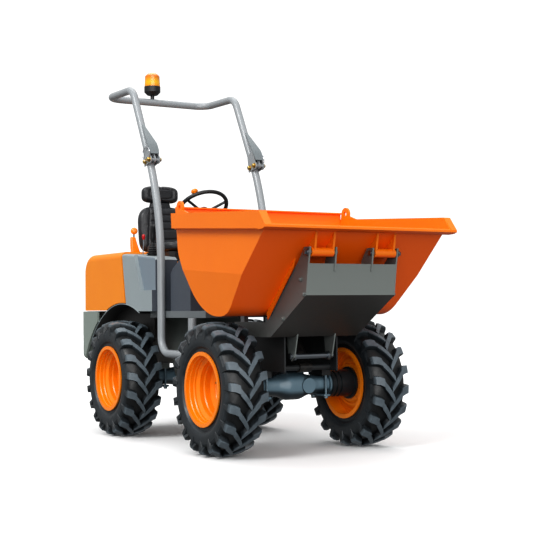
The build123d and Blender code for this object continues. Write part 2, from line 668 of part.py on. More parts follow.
FLOOR_FRONT = front(370)
FLOOR_REAR = rear(-192)
with BuildPart() as floor_plate:
    with BuildSketch(Plane.XY.offset(FLOOR_Z - SHEET)):
        with Locations((0, (FLOOR_FRONT + FLOOR_REAR) / 2)):
            Rectangle(2 * FLOOR_HALF, FLOOR_REAR - FLOOR_FRONT)
    extrude(amount=SHEET)
    with BuildSketch(Plane.XY.offset(FLOOR_Z - 42)):
        with Locations((0, (FLOOR_FRONT + FLOOR_REAR) / 2)):
            Rectangle(2 * FLOOR_HALF, FLOOR_REAR - FLOOR_FRONT)
            Rectangle(2 * FLOOR_HALF - 12, FLOOR_REAR - FLOOR_FRONT - 12, mode=Mode.SUBTRACT)
    extrude(amount=42)
    with BuildSketch(Plane.XY.offset(REAR_TOP_Z + GAP)):
        with Locations((0, (REAR_FRONT + FLOOR_REAR) / 2)):
            Rectangle(2 * (CHASSIS_HALF + PLATE), FLOOR_REAR - REAR_FRONT - 10)
    extrude(amount=FLOOR_Z - SHEET - REAR_TOP_Z - GAP)
save(floor_plate, "floor_plate")

# ================================================================ rear bodywork
ARCH_CENTRE = (rear(100), 170)
ARCH_R = 696
ARCH_SHEET = 6
ARCH_IN = 330
ARCH_LOW = 620
LINER_SHEET = 4
CONSOLE_OUT = 442
LEG_Y = rear(-413)
LEG_CLEAR = 2
CONSOLE_FRONT = LEG_Y + TUBE_R + LEG_CLEAR
HOOD_FRONT = rear(105)
HOOD_FRONT_LOW = rear(32)
HOOD_REAR = rear(785)
HOOD_REAR_R = 130
HOOD_EDGE_R = 45
HOOD_HINGE_X = 150
HOOD_HINGE_Y = HOOD_REAR + 7
HOOD_HINGE_Z = HOOD_LOW + 2
HOOD_PIN_R = 3
HOOD_BARREL_R = 6
HOOD_BARREL_LONG = 30
HOOD_EAR_LONG = 15
BALLAST_REAR = rear(822)
BALLAST_LOW = 480
BALLAST_CORNER_R = 70
BALLAST_FOOT_R = 40
TOW_RECESS_LOW = 525
TOW_RECESS_HIGH = 705
TOW_RECESS_WIDE = 120
TOW_RECESS_DEEP = 72
TOW_PLATES = (560, 618)
TOW_PLATE = 14
TOW_BORE_R = 11
TOW_GROOVE_HALF = TOW_BORE_R + 2
TOW_GROOVE_DEEP = 2 * TOW_GROOVE_HALF + 6
TOW_PIN_Y = BALLAST_REAR - TOW_GROOVE_DEEP + TOW_GROOVE_HALF


def hood_front_at(height):
    """Where the hood's sloping front edge is at a height."""
    return HOOD_FRONT_LOW + (height - HOOD_LOW) * (HOOD_FRONT - HOOD_FRONT_LOW) / (HOOD_TOP - HOOD_LOW)


CONSOLE_TOP_FRONT = 1170
CONSOLE_TOP_REAR = 1205
CONSOLE_EDGE_R = 16
SHUT_LINE = 11
# The console's outer face steps in above a ledge, behind a slanted line.
STEP_IN = 26
STEP_LEDGE_Z = 955
STEP_TOP_Y = rear(-91)
STEP_LOW_Y = rear(-210)
with BuildPart() as console:
    with BuildSketch(Plane.YZ.offset(CONSOLE_IN)):
        with BuildLine():
            Polyline(
                (CONSOLE_FRONT, FLOOR_Z + GAP), (CONSOLE_FRONT, CONSOLE_TOP_FRONT - 20),
                (CONSOLE_FRONT + 30, CONSOLE_TOP_FRONT), (HOOD_FRONT - 60, CONSOLE_TOP_REAR),
                (hood_front_at(CONSOLE_TOP_REAR) - SHUT_LINE, CONSOLE_TOP_REAR),
                (hood_front_at(FLOOR_Z + GAP) - SHUT_LINE, FLOOR_Z + GAP), close=True,
            )
        make_face()
        with Locations(ARCH_CENTRE):
            Circle(ARCH_R + ARCH_SHEET + GAP, mode=Mode.SUBTRACT)
    extrude(amount=CONSOLE_OUT - CONSOLE_IN)
    with BuildSketch(Plane.YZ.offset(CONSOLE_OUT - STEP_IN)):
        with BuildLine():
            Polyline(
                (CONSOLE_FRONT - 10, STEP_LEDGE_Z), (STEP_LOW_Y, STEP_LEDGE_Z), (STEP_TOP_Y, CONSOLE_TOP_REAR + 10),
                (CONSOLE_FRONT - 10, CONSOLE_TOP_REAR + 10), close=True,
            )
        make_face()
    extrude(amount=STEP_IN + 10, mode=Mode.SUBTRACT)
    outer_edges = console.edges().filter_by_position(Axis.X, CONSOLE_OUT - STEP_IN - 1, CONSOLE_OUT + 1)
    top_edges = outer_edges.filter_by_position(Axis.Z, CONSOLE_TOP_FRONT - 1, CONSOLE_TOP_REAR + 1)
    fillet(top_edges.filter_by(GeomType.LINE).filter_by(lambda edge: abs(edge.tangent_at(0.5).X) < 0.1), CONSOLE_EDGE_R)
for console_name, turn in (("console_left", 1), ("console_right", -1)):
    with BuildPart() as one_console:
        add(console.part if turn > 0 else console.part.mirror(Plane.YZ))
    save(one_console, console_name)

with BuildPart() as wheel_arches:
    for hole_r, width in ((ARCH_R, CONSOLE_OUT - 2 - ARCH_IN), (0, LINER_SHEET)):
        with BuildSketch(Plane.YZ.offset(ARCH_IN)):
            with Locations(ARCH_CENTRE):
                Circle(ARCH_R + ARCH_SHEET)
                if hole_r:
                    Circle(hole_r, mode=Mode.SUBTRACT)
            with Locations((ARCH_CENTRE[0], ARCH_LOW - 600)):
                Rectangle(2000, 1200, mode=Mode.SUBTRACT)
            with Locations((FLOOR_REAR + 2 - 410, 800)):
                Rectangle(2 * 410, 1000, mode=Mode.SUBTRACT)
        extrude(amount=width)
    mirror(about=Plane.YZ)
save(wheel_arches, "wheel_arches")

with BuildPart() as ballast:
    with BuildSketch(Plane.XY.offset(BALLAST_LOW)):
        with Locations((0, (rear(500) + BALLAST_REAR) / 2)):
            Rectangle(2 * 455, BALLAST_REAR - rear(500))
    extrude(amount=HOOD_LOW - 6 - BALLAST_LOW)
    fillet(ballast.edges().filter_by(Axis.Z).group_by(Axis.Y)[-1], BALLAST_CORNER_R)
    fillet(ballast.edges().group_by(Axis.Z)[0].filter_by(lambda edge: edge.center().Y > rear(600)), BALLAST_FOOT_R)
    with BuildSketch(Plane.XY.offset(470)):
        with Locations((0, rear(540))):
            Rectangle(2 * 440, 380)
    extrude(amount=400, mode=Mode.SUBTRACT)
    with BuildSketch(Plane.XY.offset(TOW_RECESS_LOW)):
        with Locations((0, BALLAST_REAR)):
            Rectangle(TOW_RECESS_WIDE, 2 * TOW_RECESS_DEEP)
    extrude(amount=TOW_RECESS_HIGH - TOW_RECESS_LOW, mode=Mode.SUBTRACT)
    # the tow pin is dropped down a groove that is open to the rear above the recess
    with BuildSketch(Plane.XY.offset(TOW_RECESS_HIGH - 5)):
        with Locations((0, BALLAST_REAR)):
            Rectangle(2 * TOW_GROOVE_HALF, 2 * TOW_GROOVE_DEEP)
    extrude(amount=HOOD_LOW - TOW_RECESS_HIGH, mode=Mode.SUBTRACT)
    with BuildSketch(Plane.YZ.offset(-500)):
        with Locations(ARCH_CENTRE):
            Circle(ARCH_R + ARCH_SHEET + GAP)
    extrude(amount=1000, mode=Mode.SUBTRACT)
    ballast_top = HOOD_LOW - 6
    for side in (-1, 1):
        ear_mid = HOOD_BARREL_LONG / 2 + 1 + HOOD_EAR_LONG / 2
        for ear_x in (side * HOOD_HINGE_X - ear_mid, side * HOOD_HINGE_X + ear_mid):
            with BuildSketch(Plane.YZ.offset(ear_x - HOOD_EAR_LONG / 2)):
                with Locations((HOOD_HINGE_Y, HOOD_HINGE_Z)):
                    Circle(HOOD_BARREL_R - 0.5)
                with Locations((HOOD_HINGE_Y, (ballast_top - 1 + HOOD_HINGE_Z) / 2)):
                    Rectangle(2 * HOOD_BARREL_R - 1, HOOD_HINGE_Z - ballast_top + 1)
            extrude(amount=HOOD_EAR_LONG)
        with BuildSketch(Plane.YZ.offset(side * HOOD_HINGE_X - ear_mid)):
            with Locations((HOOD_HINGE_Y, HOOD_HINGE_Z)):
                Circle(HOOD_PIN_R)
        extrude(amount=2 * ear_mid)
save(ballast, "rear_ballast")

with BuildPart() as tow_hitch:
    back = BALLAST_REAR - TOW_RECESS_DEEP + GAP
    with BuildSketch(Plane.XZ.offset(-back)):
        with Locations((0, (TOW_RECESS_LOW + TOW_RECESS_HIGH) / 2 - 20)):
            Rectangle(104, 120)
    extrude(amount=-10)
    for low in TOW_PLATES:
        with BuildSketch(Plane.XY.offset(low)):
            with Locations((0, (back + TOW_PIN_Y) / 2)):
                Rectangle(56, TOW_PIN_Y - back)
            with Locations((0, TOW_PIN_Y)):
                Circle(TOW_BORE_R + 8)
            with Locations((0, TOW_PIN_Y)):
                Circle(TOW_BORE_R, mode=Mode.SUBTRACT)
        extrude(amount=TOW_PLATE)
save(tow_hitch, "tow_hitch")


def hood_block(inset):
    """Filled outline of the engine hood, each face moved in by inset, open side not counted."""
    low = HOOD_LOW - (1 if inset else 0)
    with BuildPart() as block:
        with BuildSketch(Plane.YZ):
            with BuildLine():
                back = HOOD_REAR - inset
                top = HOOD_TOP - inset
                bend = HOOD_REAR_R - inset
                Polyline((back - bend, top), (HOOD_FRONT + inset, top), (HOOD_FRONT_LOW + inset, low), (back, low))
                Line((back, low), (back, top - bend))
                RadiusArc((back, top - bend), (back - bend, top), -bend)
            make_face()
        extrude(amount=HOOD_HALF - inset, both=True)
        sides = [block.faces().sort_by(Axis.X)[end] for end in (0, -1)]
        rims = ShapeList([edge for side in sides for edge in side.outer_wire().edges()])
        above = rims.filter_by(lambda edge: edge.center().Y > HOOD_FRONT and edge.center().Z > HOOD_LOW + 5)
        fillet(above, HOOD_EDGE_R - inset)
    return block.part


DECK_FRONT = rear(-150)
DECK_TOP = 1150
DECK_HALF_X = CONSOLE_IN - 8

with BuildPart() as hood:
    add(hood_block(0))
    add(hood_block(SHEET), mode=Mode.SUBTRACT)
    with BuildSketch(Plane.YZ.offset(-600)):
        with Locations(ARCH_CENTRE):
            Circle(ARCH_R + ARCH_SHEET + 5)
    extrude(amount=1200, mode=Mode.SUBTRACT)
    with BuildSketch(Plane.XZ.offset(-HOOD_FRONT_LOW + 20)):
        with Locations((0, HOOD_LOW - 10 + (DECK_TOP - SHEET - HOOD_LOW + 10) / 2)):
            Rectangle(2 * DECK_HALF_X - 8, DECK_TOP - SHEET - HOOD_LOW + 10)
    extrude(amount=-130, mode=Mode.SUBTRACT)
    with BuildSketch(Plane.XY.offset(DECK_TOP - 60)):
        with Locations((0, (DECK_FRONT + HOOD_FRONT + 40) / 2)):
            Rectangle(2 * DECK_HALF_X, HOOD_FRONT + 40 - DECK_FRONT)
            Rectangle(2 * DECK_HALF_X - 8, HOOD_FRONT + 32 - DECK_FRONT, mode=Mode.SUBTRACT)
    extrude(amount=60)
    with BuildSketch(Plane.XY.offset(DECK_TOP - SHEET)):
        with Locations((0, (DECK_FRONT + HOOD_FRONT + 40) / 2)):
            Rectangle(2 * DECK_HALF_X, HOOD_FRONT + 40 - DECK_FRONT)
    extrude(amount=SHEET)
    for side in (-1, 1):
        with BuildSketch(Plane.YZ.offset(side * HOOD_HINGE_X - HOOD_BARREL_LONG / 2)):
            with Locations((HOOD_HINGE_Y, HOOD_HINGE_Z)):
                Circle(HOOD_BARREL_R)
            with Locations((HOOD_REAR + 1.5, HOOD_LOW + 18)):
                Rectangle(3, 36)
            with Locations((HOOD_HINGE_Y, HOOD_HINGE_Z)):
                Circle(HOOD_PIN_R + RUN_FIT, mode=Mode.SUBTRACT)
        extrude(amount=HOOD_BARREL_LONG)
save(hood, "hood")

# ================================================================ seat
CUSHION_FRONT = rear(-120)
CUSHION_REAR = rear(330)
with BuildPart() as seat_cushion:
    with BuildSketch(Plane.XY.offset(HOOD_TOP + GAP)):
        with Locations((0, (CUSHION_FRONT + CUSHION_REAR) / 2)):
            Rectangle(400, CUSHION_REAR - CUSHION_FRONT)
    extrude(amount=70)
    fillet(seat_cushion.edges().filter_by(Axis.Z), 50)
save(seat_cushion, "seat_cushion")

SEAT_BASE_HALF = 160
SEAT_BASE_FRONT = CUSHION_FRONT + 35
SEAT_BASE_REAR = hood_front_at(DECK_TOP) - 5
with BuildPart() as seat_base:
    with BuildSketch(Plane.XY.offset(HOOD_TOP)):
        with Locations((0, (SEAT_BASE_FRONT + SEAT_BASE_REAR) / 2)):
            Rectangle(2 * SEAT_BASE_HALF, SEAT_BASE_REAR - SEAT_BASE_FRONT)
    extrude(amount=-(HOOD_TOP - DECK_TOP - GAP))
    chamfer(seat_base.edges().filter_by(Axis.Z).group_by(Axis.Y)[0], 30)
save(seat_base, "seat_base")

with BuildPart() as seat_backrest:
    with BuildSketch(Plane.YZ.offset(-190)):
        with BuildLine():
            Polyline(
                (CUSHION_REAR + GAP, HOOD_TOP + GAP), (CUSHION_REAR + 92, HOOD_TOP + GAP),
                (CUSHION_REAR + 132, 1570), (CUSHION_REAR + 52, 1570), close=True,
            )
        make_face()
    extrude(amount=380)
save(seat_backrest, "seat_backrest")

with BuildPart() as headrest:
    with BuildSketch(Plane.XY.offset(1584)):
        with Locations((0, CUSHION_REAR + 102)):
            Rectangle(290, 80)
    extrude(amount=135)
    with BuildSketch(Plane.XY.offset(1570 + GAP)):
        with Locations((-60, CUSHION_REAR + 102), (60, CUSHION_REAR + 102)):
            Circle(6)
    extrude(amount=20)
save(headrest, "headrest")

# ================================================================ cowl and steering
COWL_REAR = rear(-466)
COWL_FRONT = rear(-760)
COWL_HALF = 355
COWL_TOP = 1180
COWL_EDGE_R = 18
COLUMN_TILT = 38
WHEEL_AT = Vector(0, rear(-235), 1500)
RING_R = 170


def cowl_block(margin):
    """The cowl, its outline grown by a margin and carried across, with round rear edges."""
    with BuildPart() as block:
        with BuildSketch(Plane.YZ.offset(-COWL_HALF)):
            with BuildLine():
                Polyline(
                    (COWL_REAR, FLOOR_Z + GAP), (COWL_REAR, 1060), (COWL_REAR - 30, 1092),
                    (COWL_REAR - 200, COWL_TOP), (COWL_FRONT, COWL_TOP), (COWL_FRONT, FLOOR_Z + GAP), close=True,
                )
            make_face()
            if margin:
                offset(amount=margin)
        extrude(amount=2 * COWL_HALF)
        sides = [face.outer_wire() for face in block.faces().sort_by(Axis.X)[:1] + block.faces().sort_by(Axis.X)[-1:]]
        rims = ShapeList([edge for wire in sides for edge in wire.edges() if edge.center().Z > FLOOR_Z + 50])
        fillet(rims.filter_by(lambda edge: edge.center().Y > COWL_FRONT + 5), COWL_EDGE_R)
    return block.part


with BuildPart() as cowl:
    add(cowl_block(0))
save(cowl, "cowl")

column_dir = Vector(0, math.sin(math.radians(COLUMN_TILT)), math.cos(math.radians(COLUMN_TILT)))
HUB_DROP = 60
column_top = WHEEL_AT - column_dir * HUB_DROP
column_length = (column_top.Z - 1060) / column_dir.Z
with BuildPart() as steering_column:
    with BuildSketch(Plane(origin=column_top, x_dir=(1, 0, 0), z_dir=column_dir * -1)):
        Circle(28)
    extrude(amount=column_length)
    add(cowl_block(GAP), mode=Mode.SUBTRACT)
save(steering_column, "steering_column")

wheel_plane = Plane(origin=WHEEL_AT, x_dir=(1, 0, 0), z_dir=column_dir)
with BuildPart() as steering_wheel:
    with BuildSketch(Plane(origin=WHEEL_AT, x_dir=(1, 0, 0), z_dir=(0, -column_dir.Z, column_dir.Y))):
        with Locations((RING_R, 0)):
            Circle(13)
    revolve(axis=Axis(WHEEL_AT, column_dir))
    with BuildSketch(wheel_plane.offset(-HUB_DROP + 1)):
        Circle(34)
    extrude(amount=40)
    for angle in (90, 210, 330):
        turn = math.radians(angle)
        outer = wheel_plane.from_local_coords(Vector(RING_R * math.cos(turn), RING_R * math.sin(turn), 0))
        inner = wheel_plane.from_local_coords(Vector(20 * math.cos(turn), 20 * math.sin(turn), -HUB_DROP + 26))
        run = outer - inner
        with BuildSketch(Plane(origin=inner, z_dir=run.normalized())):
            Circle(9)
        extrude(amount=run.length)
save(steering_wheel, "steering_wheel")

# ================================================================ roll bar
LEG_BEND_Z = 1100
LEG_BEND_R = 1612
LEG_BEND = 27.8
STEP_Z = 552
STEP_FRONT = rear(-850)
STEP_BEND_R = 105
FOLD_AT = (rear(-318), ROPS_FOLD_Z)
WALL = 4

lean_end = math.radians(LEG_BEND)
SPLIT_Y = LEG_Y + LEG_BEND_R * (1 - math.cos(lean_end))
SPLIT_Z = LEG_BEND_Z + LEG_BEND_R * math.sin(lean_end)
SPLIT_DIR = Vector(0, math.sin(lean_end), math.cos(lean_end))
HOOP_REAR = rear(449)
HOOP_TOP = 2318
EAR_GAP = 2
EAR_THICK = 6

with BuildPart() as rops_legs:
    with BuildLine(Plane.YZ.offset(ROPS_X)) as leg_line:
        FilletPolyline(
            (STEP_FRONT, FLOOR_Z - 43), (STEP_FRONT, STEP_Z), (LEG_Y, STEP_Z), (LEG_Y, LEG_BEND_Z),
            radius=STEP_BEND_R,
        )
        RadiusArc((LEG_Y, LEG_BEND_Z), (SPLIT_Y, SPLIT_Z), LEG_BEND_R)
    with BuildSketch(Plane(origin=(ROPS_X, STEP_FRONT, FLOOR_Z - 43), z_dir=(0, 0, -1))):
        Circle(TUBE_R)
        Circle(TUBE_R - WALL, mode=Mode.SUBTRACT)
    sweep(path=leg_line.wires()[0])
    for start in (ROPS_X - TUBE_R - EAR_GAP - EAR_THICK, ROPS_X + TUBE_R + EAR_GAP):
        with BuildSketch(Plane.YZ.offset(start)):
            with Locations(FOLD_AT):
                Circle(26)
            with BuildLine():
                Polyline(
                    (FOLD_AT[0] - 24, FOLD_AT[1] - 10), (FOLD_AT[0] + 30, FOLD_AT[1] + 108),
                    (FOLD_AT[0] + 96, FOLD_AT[1] + 70), (FOLD_AT[0] + 80, FOLD_AT[1] - 40),
                    (FOLD_AT[0] + 10, FOLD_AT[1] - 24), close=True,
                )
            make_face()
        extrude(amount=EAR_THICK)
    with BuildSketch(Plane.YZ.offset(ROPS_X - TUBE_R - EAR_GAP - 1)):
        with Locations(FOLD_AT):
            Circle(10)
        with Locations((FOLD_AT[0] + 61, FOLD_AT[1] - 10)):
            Circle(8)
    extrude(amount=2 * (TUBE_R + EAR_GAP) + 2)
    mirror(about=Plane.YZ)
save(rops_legs, "rops_legs")


def along_split(rise, ahead):
    return (
        SPLIT_Y + rise * SPLIT_DIR.Y - ahead * SPLIT_DIR.Z,
        SPLIT_Z + rise * SPLIT_DIR.Z + ahead * SPLIT_DIR.Y,
    )


with BuildPart() as rops_hoop:
    start_at = (SPLIT_Y + 3 * SPLIT_DIR.Y, SPLIT_Z + 3 * SPLIT_DIR.Z)
    knee = (rear(15), SPLIT_Z + (rear(15) - SPLIT_Y) * SPLIT_DIR.Z / SPLIT_DIR.Y)
    with BuildLine() as hoop_line:
        with BuildLine(Plane.YZ.offset(ROPS_X)):
            FilletPolyline(start_at, knee, (rear(100), HOOP_TOP - 4), (HOOP_REAR - 110, HOOP_TOP), radius=[120, 120])
        with BuildLine(Plane.XY.offset(HOOP_TOP)):
            FilletPolyline((ROPS_X, HOOP_REAR - 110), (ROPS_X, HOOP_REAR), (0, HOOP_REAR), radius=100)
    for radius, mode in ((TUBE_R, Mode.ADD), (TUBE_R - WALL, Mode.SUBTRACT)):
        with BuildSketch(Plane(origin=(ROPS_X, start_at[0], start_at[1]), z_dir=SPLIT_DIR)):
            Circle(radius)
        sweep(path=hoop_line.wires()[0], transition=Transition.RIGHT, mode=mode)
    with BuildSketch(Plane.YZ.offset(ROPS_X - 4)):
        with Locations(FOLD_AT):
            Circle(22)
        with BuildLine():
            gusset = [(-87, 79), (60, 60), (215, 23.5), (215, 22.5), (4, 22.5), (4, 33), (-87, 35)]
            Polyline(*[along_split(*point) for point in gusset], close=True)
        make_face()
        with Locations(FOLD_AT):
            Circle(10 + RUN_FIT, mode=Mode.SUBTRACT)
    extrude(amount=8)
    mirror(about=Plane.YZ)
save(rops_hoop, "rops_hoop")

# ================================================================ beacon and control lever
BEACON_X = -45
BEACON_R = 58
BEACON_LOW = HOOP_TOP + 52
with BuildPart() as beacon_base:
    with BuildSketch(Plane.XY.offset(HOOP_TOP + TUBE_R - 4)):
        with Locations((BEACON_X, HOOP_REAR)):
            Circle(14)
    extrude(amount=BEACON_LOW - HOOP_TOP - TUBE_R + 4)
    with BuildSketch(Plane.XZ.offset(-HOOP_REAR)):
        with BuildLine():
            Polyline(
                (BEACON_X, BEACON_LOW), (BEACON_X + 36, BEACON_LOW), (BEACON_X + BEACON_R, BEACON_LOW + 22),
                (BEACON_X + BEACON_R, BEACON_LOW + 62), (BEACON_X, BEACON_LOW + 62), close=True,
            )
        make_face()
    revolve(axis=Axis((BEACON_X, HOOP_REAR, 0), (0, 0, 1)))
    with BuildSketch(Plane.YZ.offset(-200)):
        with Locations((HOOP_REAR, HOOP_TOP)):
            Circle(TUBE_R + 0.1)
    extrude(amount=400, mode=Mode.SUBTRACT)
save(beacon_base, "beacon_base")

with BuildPart() as beacon_lens:
    with BuildSketch(Plane.XZ.offset(-HOOP_REAR)):
        with BuildLine():
            low = BEACON_LOW + 62 + GAP
            Polyline((BEACON_X, low), (BEACON_X + BEACON_R - 2, low), (BEACON_X + BEACON_R - 6, low + 74))
            ThreePointArc(
                (BEACON_X + BEACON_R - 6, low + 74), (BEACON_X + 29.2, low + 94.7), (BEACON_X + 5, low + 101.8),
            )
            Polyline((BEACON_X + 5, low + 101.8), (BEACON_X, low + 101.8), (BEACON_X, low))
        make_face()
    revolve(axis=Axis((BEACON_X, HOOP_REAR, 0), (0, 0, 1)))
save(beacon_lens, "beacon_lens")

LEVER_AT = (-345, rear(-190))
console_tilt = (CONSOLE_TOP_REAR - CONSOLE_TOP_FRONT) / (HOOD_FRONT - 60 - CONSOLE_FRONT - 30)
lever_foot = CONSOLE_TOP_FRONT + (LEVER_AT[1] - CONSOLE_FRONT - 30) * console_tilt + GAP
with BuildPart() as control_lever:
    with BuildSketch(Plane(origin=(*LEVER_AT, lever_foot), z_dir=(0, -console_tilt, 1))):
        Circle(42)
    extrude(amount=62, taper=26)
    with BuildSketch(Plane.XY.offset(lever_foot + 55)):
        with Locations(LEVER_AT):
            Circle(7)
    extrude(amount=90)
    with BuildSketch(Plane.XY.offset(lever_foot + 120)):
        with Locations(LEVER_AT):
            Ellipse(22, 28)
    extrude(amount=85)
save(control_lever, "control_lever")
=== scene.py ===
# %% [markdown]
# # A one-tonne site dumper, dressed in Blender
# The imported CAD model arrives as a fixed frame: steel, castings and covers in their real
# places, in metres, front towards -Y, ground at z = 0. This script adds what CAD leaves
# plain, such as lugged tyres, a vinyl seat, bellows and bolts, and gives every surface the
# finish of its real material. Nothing here moves or reshapes a CAD piece.

# %% Load the frame
import json
import math

import bmesh
import bpy
import numpy as np
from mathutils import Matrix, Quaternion, Vector


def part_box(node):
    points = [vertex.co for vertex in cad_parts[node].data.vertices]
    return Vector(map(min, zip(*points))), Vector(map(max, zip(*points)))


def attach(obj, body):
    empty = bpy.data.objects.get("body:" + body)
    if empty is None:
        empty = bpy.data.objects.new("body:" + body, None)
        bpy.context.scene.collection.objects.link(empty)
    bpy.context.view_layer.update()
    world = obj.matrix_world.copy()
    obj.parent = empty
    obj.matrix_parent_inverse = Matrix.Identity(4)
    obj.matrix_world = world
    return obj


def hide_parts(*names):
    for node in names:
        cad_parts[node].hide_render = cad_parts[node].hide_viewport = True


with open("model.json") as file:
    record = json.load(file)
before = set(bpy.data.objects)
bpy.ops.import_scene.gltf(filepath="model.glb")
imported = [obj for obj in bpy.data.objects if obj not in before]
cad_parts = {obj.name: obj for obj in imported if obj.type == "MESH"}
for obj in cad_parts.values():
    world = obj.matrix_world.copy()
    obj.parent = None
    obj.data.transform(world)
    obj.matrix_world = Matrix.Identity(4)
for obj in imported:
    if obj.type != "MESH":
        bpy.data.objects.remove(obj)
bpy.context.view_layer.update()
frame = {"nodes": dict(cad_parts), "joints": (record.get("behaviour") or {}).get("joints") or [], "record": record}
nodes = frame["nodes"]

# %% [markdown]
# ## Three small tools
# Paint charts give colours as screen hex codes, but Blender mixes light in linear values, so
# one function turns one into the other. A second adds a shader node with its settings and
# links in one line, and a third makes a mesh object from arrays of points and faces.

# %% Colour and node helpers
MM = 0.001
A, B = 6, 7  # where a Mix node keeps its two colours


def linear(code):
    """Turns an sRGB hex code into linear red, green, blue and alpha by the standard curve, which
    is a straight piece below 0.04045 and a power of 2.4 above it."""
    values = [int(code[i : i + 2], 16) / 255 for i in (1, 3, 5)]
    return tuple(v / 12.92 if v <= 0.04045 else ((v + 0.055) / 1.055) ** 2.4 for v in values) + (1.0,)


def result(node):
    """A node's first output in use."""
    return next(output for output in node.outputs if output.enabled)


def add_node(tree, kind, inputs=None, **settings):
    """Adds one shader node, sets its properties, then fills its inputs: a number or colour is
    set, a socket is linked, and a node is linked by its first output in use."""
    node = tree.nodes.new("ShaderNode" + kind)
    if kind == "Mix":
        node.data_type = "RGBA"
    for name, value in settings.items():
        setattr(node, name, value)
    for name, value in (inputs or {}).items():
        if isinstance(value, bpy.types.Node):
            value = result(value)
        if isinstance(value, bpy.types.NodeSocket):
            tree.links.new(value, node.inputs[name])
        else:
            node.inputs[name].default_value = value
    return node


print("mid grey is", [round(v, 3) for v in linear("#808080")])

# %% [markdown]
# A new piece is one or more surfaces given as arrays of points. Its seams are merged and its
# faces turned outwards once, here, so no piece has to think of it. Sizes and places come from
# the frame: a CAD node's box, and the joint that a piece turns about.

# %% Mesh helpers
SAME_POINT = 1e-6  # metres within which two points are one


def corners(node):
    """The low and the high corner of a CAD node's box, in metres."""
    return np.array(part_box(node), float)


def joint(name):
    """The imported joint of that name, with its axis and its place."""
    return next(one for one in frame["joints"] if one["name"] == name)


def mesh_piece(name, points, faces, material, body):
    """Makes a mesh object from points in metres and faces, merges its seams, turns its faces
    outwards, and gives it a material and the body it rides on."""
    mesh = bpy.data.meshes.new(name)
    polygons = [tuple(map(int, face)) for face in faces]
    mesh.from_pydata(np.asarray(points, float).tolist(), [], polygons)
    work = bmesh.new()
    work.from_mesh(mesh)
    bmesh.ops.remove_doubles(work, verts=work.verts, dist=SAME_POINT)
    bmesh.ops.recalc_face_normals(work, faces=work.faces)
    work.to_mesh(mesh)
    work.free()
    mesh.materials.append(material)
    mesh.polygons.foreach_set("use_smooth", [True] * len(mesh.polygons))
    mesh.update()
    piece = bpy.data.objects.new(name, mesh)
    bpy.context.scene.collection.objects.link(piece)
    if body:
        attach(piece, body)
    return piece


def crisp(piece, degrees=35):
    """Keeps corners sharper than an angle sharp while the rest of the piece is smooth."""
    split = piece.modifiers.new("Crisp corners", "EDGE_SPLIT")
    split.split_angle = math.radians(degrees)
    return piece


def apply_modifier(piece, modifier):
    """Replaces a piece's mesh by the one its modifiers make, and removes the modifier."""
    graph = bpy.context.evaluated_depsgraph_get()
    made = bpy.data.meshes.new_from_object(piece.evaluated_get(graph))
    piece.modifiers.remove(modifier)
    piece.data = made


def mesh_points(piece):
    """The piece's points as rows of x, y and z."""
    points = np.empty(len(piece.data.vertices) * 3)
    piece.data.vertices.foreach_get("co", points)
    return points.reshape(-1, 3)


def put_points(piece, points):
    """Writes rows of x, y and z back to the piece's points."""
    piece.data.vertices.foreach_set("co", np.asarray(points, float).ravel())
    piece.data.update()


print("the skip's box is", np.round(np.ptp(corners("skip"), axis=0), 3), "m")

# %% [markdown]
# Three kinds of surface make nearly every small part on the machine: a profile turned about
# an axis, as a lathe would, a round section carried along a path, as bent wire or tube is,
# and stacked outlines joined into a skin. Each returns points and faces, and gather() joins
# many into one mesh, so a whole set of bolts is one piece.

# %% Turned, drawn and skinned surfaces
def grid_faces(rows, columns, wrap=True):
    """Quads of a grid whose columns close on themselves when wrap is true."""
    row = np.arange(rows - 1)[:, None] * columns
    column = np.arange(columns if wrap else columns - 1)[None, :]
    right = (column + 1) % columns
    above = row + columns
    return np.stack([row + column, row + right, above + right, above + column], -1).reshape(-1, 4)


def side_axes(axis):
    """Two unit vectors square to an axis and to each other."""
    axis = np.asarray(axis, float) / np.linalg.norm(axis)
    helper = np.array([0.0, 0.0, 1.0]) if abs(axis[2]) < 0.9 else np.array([1.0, 0.0, 0.0])
    across = np.cross(helper, axis)
    across /= np.linalg.norm(across)
    return axis, across, np.cross(axis, across)


def turned(profile, base, axis, sides=24):
    """Turns a profile of (distance along the axis, radius) pairs about an axis through base. A
    radius of zero at either end closes that end in a point."""
    axis, across, up = side_axes(axis)
    profile = np.asarray(profile, float)
    angle = np.linspace(0, 2 * math.pi, sides, endpoint=False)
    rim = np.cos(angle)[None, :, None] * across + np.sin(angle)[None, :, None] * up
    distance, radius = profile[:, 0][:, None, None], profile[:, 1][:, None, None]
    points = np.asarray(base) + distance * axis + radius * rim
    return points.reshape(-1, 3), grid_faces(len(profile), sides)


def drawn(path, radius, sides=10, closed=False):
    """Carries a circle along a path of points: at each point the circle is square to the run,
    and its frame is the last one with the turn between the two runs taken out."""
    path = np.asarray(path, float)
    run = np.gradient(path, axis=0) if not closed else np.roll(path, -1, 0) - np.roll(path, 1, 0)
    run /= np.linalg.norm(run, axis=1)[:, None]
    _, across, _ = side_axes(run[0])
    frames = []
    for step in run:
        across = across - step * across.dot(step)
        across = across / np.linalg.norm(across)
        frames.append((across, np.cross(step, across)))
    angle = np.linspace(0, 2 * math.pi, sides, endpoint=False)[None, :, None]
    frames = np.array(frames)
    rim = np.cos(angle) * frames[:, 0][:, None] + np.sin(angle) * frames[:, 1][:, None]
    points = (path[:, None] + radius * rim).reshape(-1, 3)
    faces = grid_faces(len(path), sides)
    if closed:
        last = np.arange(sides) + (len(path) - 1) * sides
        first = np.arange(sides)
        seam = np.stack([last, np.roll(last, -1), np.roll(first, -1), first], -1)
        return points, np.concatenate([faces, seam])
    return cap_ends(points, faces, len(path), sides)


